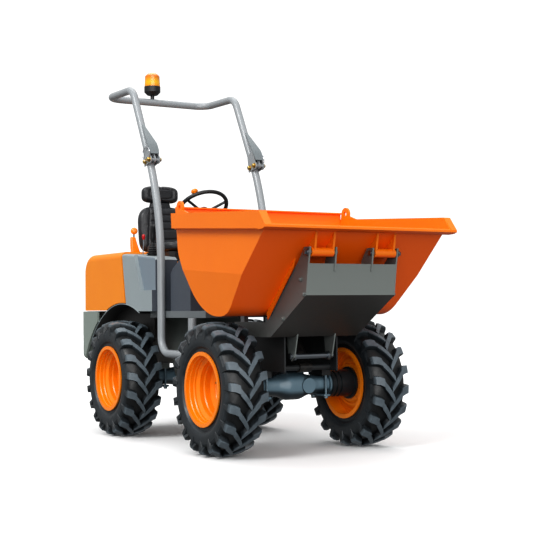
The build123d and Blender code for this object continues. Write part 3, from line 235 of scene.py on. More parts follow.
def cap_ends(points, faces, rows, columns):
    """Closes the first and last ring of a grid with a fan round a middle point."""
    points = np.concatenate([points, [points[:columns].mean(0)], [points[-columns:].mean(0)]])
    faces = [tuple(face) for face in faces]
    first = np.arange(columns)
    for ring, middle in ((first, len(points) - 2), (first + (rows - 1) * columns, len(points) - 1)):
        fan = np.stack([ring, np.roll(ring, -1), np.full(columns, middle)], -1)
        faces += [tuple(face) for face in fan]
    return points, faces


def skinned(rings):
    """Joins a stack of closed outlines with equal numbers of points into a skin with closed ends."""
    rings = np.asarray(rings, float)
    rows, columns = rings.shape[:2]
    return cap_ends(rings.reshape(-1, 3), grid_faces(rows, columns), rows, columns)


def squared_circle(power, count):
    """The curve |x|^p + |y|^p = 1, from a circle at 2 towards a square: the cosine and the sine
    of an angle, each raised to 2/p with its sign kept."""
    angle = np.linspace(0, 2 * math.pi, count, endpoint=False)
    curve = np.stack([np.cos(angle), np.sin(angle)])
    return np.sign(curve) * np.abs(curve) ** (2 / power)


def squircle(centre, half_x, half_y, power=4.0, count=24):
    """A level outline between an ellipse and a rectangle: |x/a|^p + |y/b|^p = 1."""
    x, y = squared_circle(power, count)
    places = [centre[0] + half_x * x, centre[1] + half_y * y, np.full(count, centre[2])]
    return np.stack(places, -1)


def gather(surfaces):
    """Joins many (points, faces) pairs into one pair by shifting each one's point numbers."""
    points, faces, start = [], [], 0
    for some_points, some_faces in surfaces:
        points.append(np.asarray(some_points))
        faces += [tuple(int(i) + start for i in face) for face in some_faces]
        start += len(some_points)
    return np.concatenate(points), faces


print("a plain turned ring has", len(turned([(0, 1), (1, 1)], (0, 0, 0), (0, 0, 1))[1]), "faces")

# %% [markdown]
# ## Paints and other finishes
# Sheet steel on a dumper is sprayed with thick two-pack enamel. The eye reads three things in
# it: a slow drift of tone across a panel, a faint orange-peel ripple in the gloss, and dust
# that settles low on the machine. One function mixes those three from noise, with the pattern
# sizes given in millimetres on Object coordinates, so they stay put when a piece moves.

# %% A finish from three noises
DUST = "#8E8272"  # dry site dust, a pale brown
SOOT = "#4A4A4A"  # what shows as dust on black plastic and vinyl
DUST_TOP, DUST_FULL = 0.9, 0.15  # metres above the ground where dust starts and is thickest
DRIFT_MM, SPOT_MM = 240.0, 22.0  # sizes of the drifts of tone and of the spots of dust
PAINT_IOR = 1.5  # lacquers and plastics


def new_material(name):
    """An empty material of that name, its node tree, and the socket of its Object coordinates."""
    material = bpy.data.materials.new(name)
    material.use_nodes = True
    material.node_tree.nodes.clear()
    place = add_node(material.node_tree, "TexCoord").outputs["Object"]
    return material, material.node_tree, place


def finish(name, body_code, drift_code, rough, coat=0.0, metal=0.0, ripple_mm=7.0, ripple=0.03,
           dust=0.25, dust_code=DUST):
    """A finish: body colour drifting to a second tone by large noise, dust thickening towards
    the ground, roughness raised where dust lies, and a fine bump of the given size."""
    material, tree, place = new_material(name)
    drift = add_node(tree, "TexNoise", {"Vector": place, "Scale": 1 / (DRIFT_MM * MM), "Detail": 4.0})
    tone = add_node(tree, "Mix", {0: drift, A: linear(body_code), B: linear(drift_code)})
    height = add_node(tree, "SeparateXYZ", {"Vector": place}).outputs["Z"]
    low = add_node(tree, "MapRange", {"Value": height, "From Min": DUST_TOP, "From Max": DUST_FULL,
                   "To Max": dust})
    spots = add_node(tree, "TexNoise", {"Vector": place, "Scale": 1 / (SPOT_MM * MM), "Detail": 6.0,
                     "Roughness": 0.7})
    patch = add_node(tree, "MapRange", {"Value": spots, "From Min": 0.42, "From Max": 0.75})
    dirt = add_node(tree, "Math", {0: low, 1: patch}, operation="MULTIPLY")
    soiled = add_node(tree, "Mix", {0: dirt, A: tone, B: linear(dust_code)})
    gloss = add_node(tree, "MapRange", {"Value": spots, "From Min": 0.3, "From Max": 0.8,
                     "To Min": rough * 0.94, "To Max": rough * 1.1})
    skin = add_node(tree, "TexNoise", {"Vector": place, "Scale": 1 / (ripple_mm * MM), "Detail": 2.0})
    bump = add_node(tree, "Bump", {"Height": skin, "Strength": ripple, "Distance": 1 * MM})
    shader = add_node(tree, "BsdfPrincipled", {
        "Base Color": soiled, "Roughness": gloss,
        "Metallic": metal, "Coat Weight": coat, "Coat Roughness": 0.12, "Normal": bump})
    if not metal:
        shader.inputs["IOR"].default_value = PAINT_IOR
    add_node(tree, "OutputMaterial", {"Surface": shader})
    return material


print("drifts of tone are", DRIFT_MM, "mm across and dust spots", SPOT_MM, "mm")

# %% [markdown]
# Most pieces have one finish each. The list below names what the real surface is and says what
# the eye gets from it: how clear the highlight is, how the colour wanders, how much dust stays.

# %% The list of finishes
FINISHES = {
    # two-pack enamel on sheet steel: strong colour, and a soft clear light on the folds
    "skip_orange": finish("enamel_skip_orange", "#F27C00", "#EC7400", 0.45, dust=0.03),
    "wheel_orange": finish("enamel_wheel_orange", "#F88804", "#F07E00", 0.32, coat=0.15, dust=0.05),
    # gel-coated glass-fibre hood: a yellower orange with a soft broad highlight
    "hood_yellow": finish("gelcoat_hood_orange", "#EC8A00", "#E68000", 0.42, ripple=0.02, dust=0.05),
    # charcoal powder coat on frames and cradle: satin with a slight grain
    "chassis_paint": finish("powder_coat_charcoal", "#626665", "#5A5E5D", 0.4, ripple_mm=4,
                            ripple=0.05, dust=0.05),
    # enamel on the axle castings, thick enough to hide the sand: one smooth blue-grey sheen
    "axle_paint": finish("enamel_axle_blue_grey", "#50646F", "#3C4E58", 0.3, ripple=0.0, dust=0.04),
    # zinc-plated pins: grey metal with a broad, slightly dull glint
    "zinc_pin": finish("zinc_plate", "#8E949A", "#80868C", 0.34, metal=1.0, ripple=0.02, dust=0.05),
    # baked black enamel on the rams: deep, with a crisp line of light
    "ram_black": finish("enamel_ram_black", "#17181A", "#101113", 0.32, coat=0.2),
    # hard chrome on ground steel: nearly a mirror, as oil keeps it clean
    "chromed_rod": finish("hard_chrome", "#D4D6DA", "#C8CACE", 0.12, metal=1.0, ripple=0.0, dust=0.05),
    # painted cast iron: the skin of the sand mould breaks up every highlight
    "engine_iron": finish("cast_iron_painted", "#2E3133", "#26292B", 0.6, ripple_mm=5, ripple=0.25),
    # plain sprayed steel, dulled by boots
    "floor_grey": finish("enamel_floor_grey", "#6E7477", "#646A6D", 0.45, ripple_mm=5),
    # moulded panels with a fine texture, which spreads the light evenly
    "panel_grey": finish("moulded_panel_grey_blue", "#8B9599", "#838D91", 0.4, ripple_mm=5, dust=0.05),
    # thick paint over a heavy casting: shallow pits show through it
    "ballast_grey": finish("cast_ballast_grey_green", "#838D87", "#7A847E", 0.5, ripple_mm=9,
                           ripple=0.06, dust=0.1),
    # black enamel in the shade of the arches: dull and dusty
    "arch_black": finish("enamel_arch_black", "#141516", "#0F1011", 0.5),
    # vinyl pressed with a leather grain: small broken highlights
    "seat_vinyl": finish("grained_vinyl_black", "#222428", "#1A1C20", 0.42, ripple_mm=3, ripple=0.25,
                         dust=0.05, dust_code=SOOT),
    # slate-coloured moulding of the cowl: even and satin
    "cowl_grey": finish("moulded_cowl_slate", "#4C525B", "#444A53", 0.42, ripple_mm=5, dust=0.1),
    # light enamel on bent tube: a long clear highlight along every bend
    "frame_grey": finish("enamel_frame_grey", "#959A9D", "#8C9194", 0.3, coat=0.2, ripple=0.0, dust=0.02),
    # nylon from a spark-textured mould: fine and matt
    "black_plastic": finish("moulded_nylon_black", "#1D1E20", "#151617", 0.45, ripple_mm=3, ripple=0.1,
                            dust=0.05, dust_code=SOOT),
}
print(len(FINISHES), "finishes")

# %% [markdown]
# Some colour follows the way a face looks or where it lies. Faces that look down are painted
# darker as shade: a redder orange on the skip and dark greys on the frames and axles. Faces
# that look ahead on the frames and axles are painted lighter as light, which on the axles is a
# painted highlight. The drums at an axle's ends are black with oil. So a second colour is laid
# over a finish through a mask, worked out from a point's place or the direction its face looks.

# %% Painted shade, painted light and oil by direction and place
def overlay(material, code, mask):
    """Lays a second colour over a finish. mask() is given the node tree and the coordinates'
    outputs for place and facing direction, and returns a node whose value is 1 where it goes."""
    tree = material.node_tree
    coordinates = tree.nodes["Texture Coordinate"]
    place = add_node(tree, "SeparateXYZ", {"Vector": coordinates.outputs["Object"]}).outputs
    facing = add_node(tree, "SeparateXYZ", {"Vector": coordinates.outputs["Normal"]}).outputs
    base = tree.nodes["Principled BSDF"].inputs["Base Color"]
    blend = add_node(tree, "Mix", {0: mask(tree, place, facing), A: base.links[0].from_socket,
                     B: linear(code)})
    tree.links.new(result(blend), base)


def looking_down(tree, place, facing):
    """A mask that rises from 0 to 0.9 as a face turns from 17 to 37 degrees below the level."""
    return add_node(tree, "MapRange", {"Value": facing["Z"], "From Min": -0.3, "From Max": -0.6,
                    "To Max": 0.9})


def looking_ahead(tree, place, facing):
    """A mask that rises from 0 to 0.9 as a face turns to within 45 to 25 degrees of the front."""
    return add_node(tree, "MapRange", {"Value": facing["Y"], "From Min": -0.7, "From Max": -0.9,
                    "To Max": 0.9})


def at_the_hubs(tree, place, facing):
    """A mask that is 1 on the oily drums of an axle, further than 0.25 m from the middle."""
    reach = add_node(tree, "Math", {0: place["X"]}, operation="ABSOLUTE")
    return add_node(tree, "MapRange", {"Value": reach, "From Min": 0.242, "From Max": 0.25})


# downward faces: the redder orange on the skip and the dark greys on the frames and axles are painted shade;
# forward faces: the lighter grey on the frames is painted light, and the pale blue-grey on the axles is a painted
# highlight; the dark drums at the hubs are oil
SHADE_LIGHT_AND_OIL = (("skip_orange", "#FF6400", looking_down), ("chassis_paint", "#3A3633", looking_down),
          ("chassis_paint", "#7A807D", looking_ahead), ("axle_paint", "#6A828F", looking_ahead),
          ("axle_paint", "#20282D", looking_down), ("axle_paint", "#22282B", at_the_hubs))
for slot, code, mask in SHADE_LIGHT_AND_OIL:
    overlay(FINISHES[slot], code, mask)
print(len(SHADE_LIGHT_AND_OIL), "second colours laid")

# %% [markdown]
# The beacon's lens is amber polycarbonate over a lamp. Real light goes in, bounces off the
# reflector and comes out deep orange, so a little transmission and a strong body colour do it.

# %% Amber polycarbonate
FLUTE_MM = 43.98  # a wave texture fits one wave into 2 pi / 20 of its scale
amber, lens_tree, lens_place = new_material("polycarbonate_amber")
flutes = add_node(lens_tree, "TexWave", {"Vector": lens_place,
                  "Scale": 2 * math.pi / 20 / (FLUTE_MM * MM)}, bands_direction="X")
flute_bump = add_node(lens_tree, "Bump", {"Height": flutes.outputs["Fac"], "Strength": 0.1,
                      "Distance": 1 * MM})
# the lens is painted as if lit by the lamp low inside it: yellow there, deep orange above and
# below it, and pale in the crown as painted light passing through the thin dome
lens_low, lens_high = corners("beacon_lens")
lens_up = add_node(lens_tree, "SeparateXYZ", {"Vector": lens_place}).outputs["Z"]
band = add_node(lens_tree, "MapRange", {"Value": lens_up, "From Min": lens_low[2],
                "From Max": lens_high[2], "To Min": -0.7, "To Max": 1.8})
glow = add_node(lens_tree, "Math", {0: band}, operation="ABSOLUTE")
amber_tone = add_node(lens_tree, "Mix", {0: glow, A: linear("#FFC400"), B: linear("#F08200")})
crown_share = add_node(lens_tree, "MapRange", {"Value": band, "From Min": 1.25, "From Max": 1.8,
                       "To Max": 0.8})
amber_tone = add_node(lens_tree, "Mix", {0: crown_share, A: amber_tone, B: linear("#FFE6A8")})
lens_shader = add_node(lens_tree, "BsdfPrincipled", {
    "Base Color": amber_tone, "Roughness": 0.2, "Transmission Weight": 0.2, "IOR": 1.58,
    "Coat Weight": 0.2, "Normal": flute_bump})
add_node(lens_tree, "OutputMaterial", {"Surface": lens_shader})
FINISHES["amber_lens"] = amber
print("the lens is", round(lens_high[2] - lens_low[2], 3), "m high")

# %% [markdown]
# Tyre rubber is natural and synthetic rubber cured black with carbon. New rubber carries a
# blue-grey bloom of wax, and road dust settles in the pores, so tone and gloss both wander. The
# tyre carries a point attribute: 1 on a bar's top, which is painted a paler blue-grey as a
# highlight, 0 on the wall, and -1 deep in the tread, which is painted near-black as shade.

# %% Rubber
SCUFF_MM, PORE_MM = 35.0, 4.0
rubber, rubber_tree, rubber_place = new_material("tyre_rubber")
scuff = add_node(rubber_tree, "TexNoise", {"Vector": rubber_place, "Scale": 1 / (SCUFF_MM * MM),
                 "Detail": 8.0})
bloom = add_node(rubber_tree, "Mix", {0: scuff, A: linear("#15181A"), B: linear("#2E353A")})
# the paler blue-grey on the bars' tops is a painted highlight, and the near-black deep in the tread is painted
# shade
painted_relief_light = add_node(rubber_tree, "Attribute", attribute_name="painted_relief_light")
top_highlight_share = add_node(rubber_tree, "MapRange", {"Value": painted_relief_light.outputs["Fac"], "From Min": 0.45})
groove_shade_share = add_node(rubber_tree, "MapRange", {"Value": painted_relief_light.outputs["Fac"], "From Min": 0.0,
                "From Max": -1.0, "To Max": 0.8})
highlight_tone = add_node(rubber_tree, "Mix", {0: scuff, A: linear("#3E474D"), B: linear("#6C7880")})
tone_with_highlight = add_node(rubber_tree, "Mix", {0: top_highlight_share, A: bloom, B: highlight_tone})
rubber_tone = add_node(rubber_tree, "Mix", {0: groove_shade_share, A: tone_with_highlight, B: linear("#08090A")})
sheen_map = add_node(rubber_tree, "MapRange", {"Value": scuff, "From Min": 0.3, "From Max": 0.7,
                     "To Min": 0.32, "To Max": 0.55})
pores = add_node(rubber_tree, "TexNoise", {"Vector": rubber_place, "Scale": 1 / (PORE_MM * MM),
                 "Detail": 3.0})
rubber_bump = add_node(rubber_tree, "Bump", {"Height": pores, "Strength": 0.15, "Distance": 1 * MM})
rubber_shader = add_node(rubber_tree, "BsdfPrincipled", {
    "Base Color": rubber_tone, "Roughness": sheen_map, "IOR": 1.52,
    "Normal": rubber_bump})
add_node(rubber_tree, "OutputMaterial", {"Surface": rubber_shader})
FINISHES["tyre"] = rubber
print("scuffs of", SCUFF_MM, "mm and pores of", PORE_MM, "mm")

# %% [markdown]
# ## Paint on the CAD pieces
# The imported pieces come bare, and each names a material slot in its record, so one loop paints
# them all. A few share a slot but leave the spray booth in another tone. The consoles are moulded
# in two greys, and two masks pick out their front face and the recesses in their sides.

# %% Pieces with a finish of their own
console_low, console_high = corners("console_left")
RECESS_DEPTH = 0.010


def front_face(tree, place, facing):
    """A mask for what lies within 1.5 mm of the consoles' front face."""
    front = console_low[1] + 0.0015
    return add_node(tree, "Math", {0: place["Y"], 1: front}, operation="LESS_THAN")


def recess(tree, place, facing):
    """A mask for side faces that lie at least 10 mm inside the consoles' outermost face: the
    facing direction's X has to be over 0.8 either way."""
    sideways = add_node(tree, "Math", {0: facing["X"]}, operation="ABSOLUTE")
    upright = add_node(tree, "Math", {0: sideways, 1: 0.8}, operation="GREATER_THAN")
    apart = add_node(tree, "Math", {0: place["X"]}, operation="ABSOLUTE")
    inside = add_node(tree, "Math", {0: apart, 1: console_high[0] - RECESS_DEPTH},
                      operation="LESS_THAN")
    return add_node(tree, "Math", {0: upright, 1: inside}, operation="MULTIPLY")


two_tone = finish("moulded_console_two_tone", "#929C9F", "#8A9497", 0.4, ripple_mm=5, dust=0.05)
overlay(two_tone, "#76828C", recess)
overlay(two_tone, "#4C525B", front_face)
node_finish = {
    "console_left": two_tone,
    "console_right": two_tone,
    # the front frame is black enamel, the rear one a mid grey, both plain and satin
    "front_chassis": finish("enamel_frame_black", "#2A2D2F", "#232628", 0.42, dust=0.05),
    "rear_chassis": finish("enamel_rear_frame_grey", "#626866", "#565C5A", 0.45, dust=0.05),
}
slot_of = {part["node"]: part["material_slot"] for part in frame["record"]["subparts"]}
for name, piece in nodes.items():
    piece.data.materials.clear()
    piece.data.materials.append(node_finish.get(name, FINISHES[slot_of[name]]))
print("painted", len(nodes), "nodes")

# %% [markdown]
# ## Tyres
# A site dumper runs on traction tyres: a round carcass with deep rubber bars set in a V. The
# carcass is a surface of revolution, so one closed profile turned about the axle makes it. Its
# outer side is a superellipse, squarer than a circle, with two thin rings raised on the wall.

# %% Carcass profile
TYRE_R = 0.3797
TYRE_HALF = 0.124
CROWN_R = 0.347
BULGE_R = 0.277
BEAD_R = 0.2135


def carcass_profile(turn):
    """Half-width and radius of the carcass: a superellipse with exponent 2.7 about the widest
    point, taller above it than below. turn runs from -pi/2 at the bead to pi/2 at the crown."""
    power = 2 / 2.7
    across = (TYRE_HALF - 0.003) * np.cos(turn) ** power
    rise = np.where(turn > 0, CROWN_R - BULGE_R, BULGE_R - BEAD_R) * np.abs(np.sin(turn)) ** power
    radius = BULGE_R + np.sign(turn) * rise
    for ring_r, height in ((0.228, 0.0022), (0.243, 0.0022), (0.304, 0.0016)):
        across = across + height * np.exp(-(((radius - ring_r) / 0.0028) ** 2))
    return across, radius


CARCASS_TURNS = np.concatenate([np.linspace(-1.5, -0.35, 34), np.linspace(-0.3, 1.5, 26)])
print("carcass is", round(2000 * max(carcass_profile(CARCASS_TURNS)[0])), "mm wide")

# %% [markdown]
# Each bar is a small block carried along a path that leaves the crown at 45 degrees, steps
# wider at a knee half way out, and ends in a steep face over the shoulder. Its flanks lean a
# little, so the mould can let go of it. Right and left rows are half a pitch apart.

# %% Bars and the whole tyre
BARS = 19
# along a bar: distance from the crown's middle, lead round the wheel, height and half its width
BAR_STATIONS = np.array([-0.012, 0.004, 0.030, 0.056, 0.059, 0.078, 0.098, 0.114, 0.117, 0.132, 0.152])
BAR_LEAD = np.array([-0.026, -0.004, 0.030, 0.062, 0.076, 0.086, 0.091, 0.094, 0.086, 0.088, 0.088])
BAR_HEIGHT = np.array([0.0325, 0.0325, 0.0325, 0.0325, 0.0325, 0.034, 0.037, 0.036, 0.034, 0.020, 0.006])
BAR_HALF = np.array([0.014, 0.018, 0.019, 0.020, 0.024, 0.024, 0.024, 0.024, 0.015, 0.014, 0.012])
BAR_SECTION = np.array([[-1.28, -0.1], [-0.94, 1.0], [0.94, 1.0], [1.28, -0.1]])
LEAD_R = 0.36  # the radius at which leads and widths are measured


def crown_path(along):
    """Point and outward normal on the carcass at an arc distance from the crown's middle, read
    from the finely sampled profile by its running length."""
    turn = np.linspace(math.pi / 2 - 1e-3, -0.35, 400)
    across, radius = carcass_profile(turn)
    across = across - across[0]
    length = np.concatenate([[0], np.cumsum(np.hypot(np.diff(across), np.diff(radius)))])
    x = np.interp(along, length, across)
    r = np.interp(along, length, radius)
    dx = np.interp(along + 1e-3, length, across) - x
    dr = np.interp(along + 1e-3, length, radius) - r
    size = np.hypot(dx, dr) + 1e-12
    return x, r, -dr / size, dx / size


def bar(side, start):
    """One bar: its four-sided section stands on the carcass at each station, moved round the
    wheel by the lead and lifted along the carcass's normal, no higher than the tyre's radius."""
    x, r, normal_x, normal_r = crown_path(np.abs(BAR_STATIONS))
    x = np.sign(BAR_STATIONS) * x
    lift = BAR_SECTION[None, :, 1] * BAR_HEIGHT[:, None]
    px = side * np.minimum(x[:, None] + normal_x[:, None] * lift, TYRE_HALF - 0.0003)
    pr = np.minimum(r[:, None] + normal_r[:, None] * lift, TYRE_R)
    angle = start + (BAR_LEAD[:, None] + BAR_SECTION[None, :, 0] * BAR_HALF[:, None]) / LEAD_R
    return skinned(np.stack([px, -pr * np.cos(angle), pr * np.sin(angle)], -1))


def whole_tyre():
    """The carcass, closed round a plain inner wall, and two rows of bars, axle along X."""
    across, radius = carcass_profile(CARCASS_TURNS)
    half = np.column_stack([across, radius])
    outer = np.concatenate([half, half[::-1] * [-1, 1]])
    inner = np.array([[-0.1, 0.204], [-0.1, 0.3], [-0.07, 0.33], [0.07, 0.33], [0.1, 0.3], [0.1, 0.204]])
    ring = np.concatenate([outer, inner, outer[:1]])
    parts = [turned(ring, (0, 0, 0), (1, 0, 0), 144)]
    for side in (1, -1):
        for number in range(BARS):
            parts.append(bar(side, 2 * math.pi * (number + (0.5 if side < 0 else 0.0)) / BARS))
    return gather(parts)


tyre_points, tyre_faces = whole_tyre()
print("one tyre:", len(tyre_points), "points,", len(tyre_faces), "faces")

# %% [markdown]
# A point's height over the carcass tells the rubber where to paint a highlight and where to
# paint shade, so the paler tops and the dark bottom of the tread follow the tread round the wheel.

# %% Put a tyre on each rim
def paint_relief_light(tyre, hub):
    """Stores how much painted highlight each point gets: its height over the carcass from 22 mm (0)
    to 31 mm (1), the least distance in the section's plane to a fine run of carcass points, less 1,
    as painted shade, for what lies within 12 mm of the carcass and beyond a radius of 324 mm."""
    points = mesh_points(tyre) - hub
    section = np.column_stack([np.abs(points[:, 0]), np.hypot(points[:, 1], points[:, 2])])
    across, radius = carcass_profile(np.linspace(-1.2, 1.55, 300))
    gap = np.hypot(section[:, :1] - across[None, :], section[:, 1:] - radius[None, :]).min(1)
    relief_light = np.clip((gap - 0.022) / 0.009, 0, 1)
    relief_light -= np.clip((0.024 - gap) / 0.012, 0, 1) * np.clip((section[:, 1] - 0.312) / 0.012, 0, 1)
    tyre.data.attributes.new("painted_relief_light", "FLOAT", "POINT").data.foreach_set("value", relief_light)


CORNERS = ("front_right", "front_left", "rear_right", "rear_left")
hubs = {}
for corner in CORNERS:
    hubs[corner] = corners("tyre_" + corner).mean(0)
    tyre = mesh_piece("lugged_tyre_" + corner, tyre_points + hubs[corner], tyre_faces, rubber,
                      "wheel_" + corner)
    paint_relief_light(tyre, hubs[corner])
    crisp(tyre)
    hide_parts("tyre_" + corner)
print("hub height", round(hubs["front_right"][2], 3))

# %% [markdown]
# ## Bolts
# A hexagon bolt is a six-sided head with a chamfered crown on a round washer. Both are
# turned profiles, one with six sides and one with twenty. A dome nut on a wheel stud is the
# same idea with a longer thread.

# %% Bolt shapes
def bolt(at, axis, flats=0.019, washer=1.5):
    """A bolt head seated at a point: washer, hexagon of the given width across flats, chamfer."""
    corner = flats / math.sqrt(3)
    rim = washer * corner
    head = [(-0.001, 0), (-0.001, corner), (0.5 * flats, corner), (0.6 * flats, 0.84 * corner),
            (0.6 * flats, 0)]
    ring = [(-0.001, 0), (-0.001, rim), (0.0022, rim), (0.0026, rim - 0.0006), (0.0026, 0)]
    seat = np.asarray(at) + 0.002 * side_axes(axis)[0]
    return [turned(head, seat, axis, 6), turned(ring, at, axis, 20)]


def stud(at, axis, flats=0.022, thread=0.012):
    """A wheel nut on its stud: a hexagon with a rounded crown and a thread standing out of it."""
    corner = flats / math.sqrt(3)
    tip = 0.019 + thread
    nut = [(-0.001, 0), (-0.001, corner * 1.12), (0.003, corner), (0.016, corner), (0.019, 0.8 * corner),
           (0.019, 0)]
    rod = [(0.0, 0), (0.0, 0.0068), (tip - 0.001, 0.0068), (tip, 0.0056), (tip, 0)]
    return [turned(nut, at, axis, 6), turned(rod, at, axis, 14)]


def set_of(name, parts, slot, body, degrees=30, material=None):
    """Joins surfaces into one piece with crisp corners, in its slot's finish or in its own."""
    piece = mesh_piece(name, *gather(parts), material or FINISHES[slot], body)
    crisp(piece, degrees)


print("a bolt head has", sum(len(faces) for _, faces in bolt((0, 0, 0), (1, 0, 0))), "faces")

# %% [markdown]
# Each wheel is held by five nuts on a circle in the bottom of its dish, and a short rubber
# valve stands in the dish's wall.

# %% Wheel nuts and valves
DISC_IN = 0.052  # how far the dish's bottom lies in from the tyre's middle
NUT_CIRCLE_R = 0.082
NUTS = 5
FIRST_NUT = 0.35  # radians round the wheel
for corner, hub in hubs.items():
    out = np.array([1.0 if corner.endswith("left") else -1.0, 0, 0])
    face = hub - out * DISC_IN
    parts = []
    for number in range(NUTS):
        angle = 2 * math.pi * number / NUTS + FIRST_NUT
        parts += stud(face + NUT_CIRCLE_R * np.array([0, math.cos(angle), math.sin(angle)]), out)
    set_of("wheel_nuts_" + corner, parts, "zinc_pin", "wheel_" + corner)
    foot = hub + np.array([0, -0.130, 0.018]) - out * 0.036
    stem = [(-0.004, 0), (-0.004, 0.009), (0.004, 0.0085), (0.012, 0.0062), (0.036, 0.0058), (0.038, 0.005),
            (0.038, 0)]
    set_of("valve_" + corner, [turned(stem, foot, out, 16)], "black_plastic", "wheel_" + corner)
print(NUTS, "nuts and a valve on each of", len(hubs), "wheels")

# %% [markdown]
# ## Axle fixings
# Each axle hangs under the chassis on four long bolts through a strap on either side of its
# housing. Collars keep the cradle's cross shaft between its hangers.

# %% Axle straps and bolts
STRAP_X, STRAP_DROP, STRAP_THICK = 0.201, 0.066, 0.010
BOLT_Y, BOLT_LONG, BOLT_R = 0.068, 0.155, 0.007
AXLES = (("front_axle", "front_right", "front_unit"), ("rear_axle", "rear_right", "rear_unit"))
for axle, wheel, body in AXLES:
    _, middle_y, middle_z = hubs[wheel]
    strap_z = middle_z - STRAP_DROP
    parts = []
    for x in (-STRAP_X, STRAP_X):
        strap = [squircle((x, middle_y, z), 0.026, 0.086, 8, 32) for z in (strap_z, strap_z + STRAP_THICK)]
        parts.append(skinned(strap))
        for y in (-BOLT_Y, BOLT_Y):
            foot = np.array([x, middle_y + y, strap_z])
            shank = [(0, 0), (0, BOLT_R), (BOLT_LONG, BOLT_R), (BOLT_LONG, 0)]
            parts.append(turned(shank, foot, (0, 0, 1), 14))
            parts += bolt(foot, (0, 0, -1), 0.021)
    set_of(axle + "_clamps", parts, "axle_paint", body)

shaft_mid = corners("cradle_shaft").mean(0)
collar = [(0, 0.0163), (0, 0.0235), (0.014, 0.0235), (0.014, 0.0163), (0, 0.0163)]
collars = [turned(collar, shaft_mid + np.array([x, 0, 0]), (1, 0, 0), 28) for x in (-0.119, 0.105)]
set_of("shaft_collars", collars, "zinc_pin", "front_unit")
print("shaft at", [round(v, 3) for v in shaft_mid])

# %% [markdown]
# Bolts close the joints that CAD leaves plain: at the skip's hinge, on the cradle's cheeks and
# at the roll bar's fold, where each plate of the fork has one on its outer and inner face.

# %% Hinge, cradle and roll bar bolts
hinge = np.array(joint("skip_tip")["pos_m"])
fold = np.array(joint("hoop_fold")["pos_m"])
HINGE_FACE_X, CHEEK_FACE_X = 0.2993, 0.290
FORK_OUTER_X, FORK_INNER_X = 0.423, 0.357
CHEEK_BOLTS = ((-1.285, 0.985), (-1.318, 0.905), (-1.10, 0.775), (-0.60, 0.715))  # y and z
FORK_BOLTS = ((0.0, 0.0), (0.061, -0.010))  # y and z from the fold's pin
hinge_parts, cradle_parts, fold_parts = [], [], []
for side in (-1, 1):
    across = np.array([side, 0.0, 0.0])
    hinge_parts += bolt(hinge + across * HINGE_FACE_X, across, 0.022, 1.2)
    for y, z in CHEEK_BOLTS:
        cradle_parts += bolt((side * CHEEK_FACE_X, y, z), across, 0.017)
    for y, z in FORK_BOLTS:
        for x, way in ((FORK_OUTER_X, 1), (FORK_INNER_X, -1)):
            fold_parts += bolt((side * x, fold[1] + y, fold[2] + z), across * way, 0.024, 1.35)
set_of("hinge_pin_bolts", hinge_parts, "zinc_pin", "front_unit")
set_of("cradle_bolts", cradle_parts, "chassis_paint", "front_unit")
print("fold at", [round(v, 3) for v in fold])

# %% [markdown]
# Bolts on the roll bar are plated with zinc and then dipped in a yellow chromate, which turns
# them a pale gold. A spring wire ring locks each fold pin.

# %% Yellow zinc
gold_zinc = finish("yellow_zinc_plate", "#C9AE62", "#B8975A", 0.35, metal=1.0, ripple=0.02, dust=0.0)
set_of("fold_bolts", fold_parts, "zinc_pin", "rear_unit", material=gold_zinc)
RING_X, RING_LEAN, WIRE_R = 0.432, 0.006, 0.0032
wires = []
for side in (-1, 1):
    turn = np.linspace(0, 2 * math.pi, 40, endpoint=False)
    ring = np.stack([side * (RING_X + RING_LEAN * np.cos(turn)), fold[1] + 0.030 + 0.042 * np.cos(turn),
                     fold[2] + 0.036 + 0.045 * np.sin(turn)], -1)
    wires.append(drawn(ring, WIRE_R, 8, closed=True))
set_of("lock_pin_rings", wires, "chromed_rod", "rear_unit")
print(len(wires), "rings of", 2000 * WIRE_R, "mm wire")

# %% [markdown]
# Above each fold pin a folded steel strip stiffens the hoop: narrow where it leaves the tube,
# as wide as the fork below, and carried by a web in the middle. It turns with the hoop, so its
# foot stays a few centimetres from the pin and swings clear of the fork.

# %% Gussets of the folding hoop
TUBE_LEAN = math.radians(27.8)
TUBE_X = 0.39
UP_TUBE = np.array([0.0, math.sin(TUBE_LEAN), math.cos(TUBE_LEAN)])
OFF_TUBE = np.array([0.0, -math.cos(TUBE_LEAN), math.sin(TUBE_LEAN)])
# down the strip: rise over the pin, distance off the tube, half its width, and the web's root
STRIP_RISE = np.array([0.302, 0.207, 0.112, 0.087, 0.057, 0.027])
STRIP_OFF = np.array([-0.034, -0.003, 0.027, 0.0305, 0.032, 0.0315])
STRIP_HALF = np.array([0.008, 0.021, 0.034, 0.034, 0.034, 0.030])
WEB_OFF = np.array([-0.036, -0.013, 0.008, 0.010, 0.013, 0.016])
STRIP_THICK, WEB_HALF = 0.003, 0.0035


def along_fold(side, half, near, far):
    """Rings of four points down the strip, from one edge to the other at two distances off the
    tube: each point is the pin plus a rise up the tube and an offset square to it."""
    rings = []
    for edge, off in ((-1, near), (1, near), (1, far), (-1, far)):
        places = fold + STRIP_RISE[:, None] * UP_TUBE + off[:, None] * OFF_TUBE
        places[:, 0] = side * TUBE_X + edge * half
        rings.append(places)
    return skinned(np.stack(rings, 1))


gussets = []
for side in (-1, 1):
    gussets.append(along_fold(side, STRIP_HALF, STRIP_OFF - STRIP_THICK, STRIP_OFF))
    gussets.append(along_fold(side, WEB_HALF, WEB_OFF, STRIP_OFF - STRIP_THICK + 0.0002))
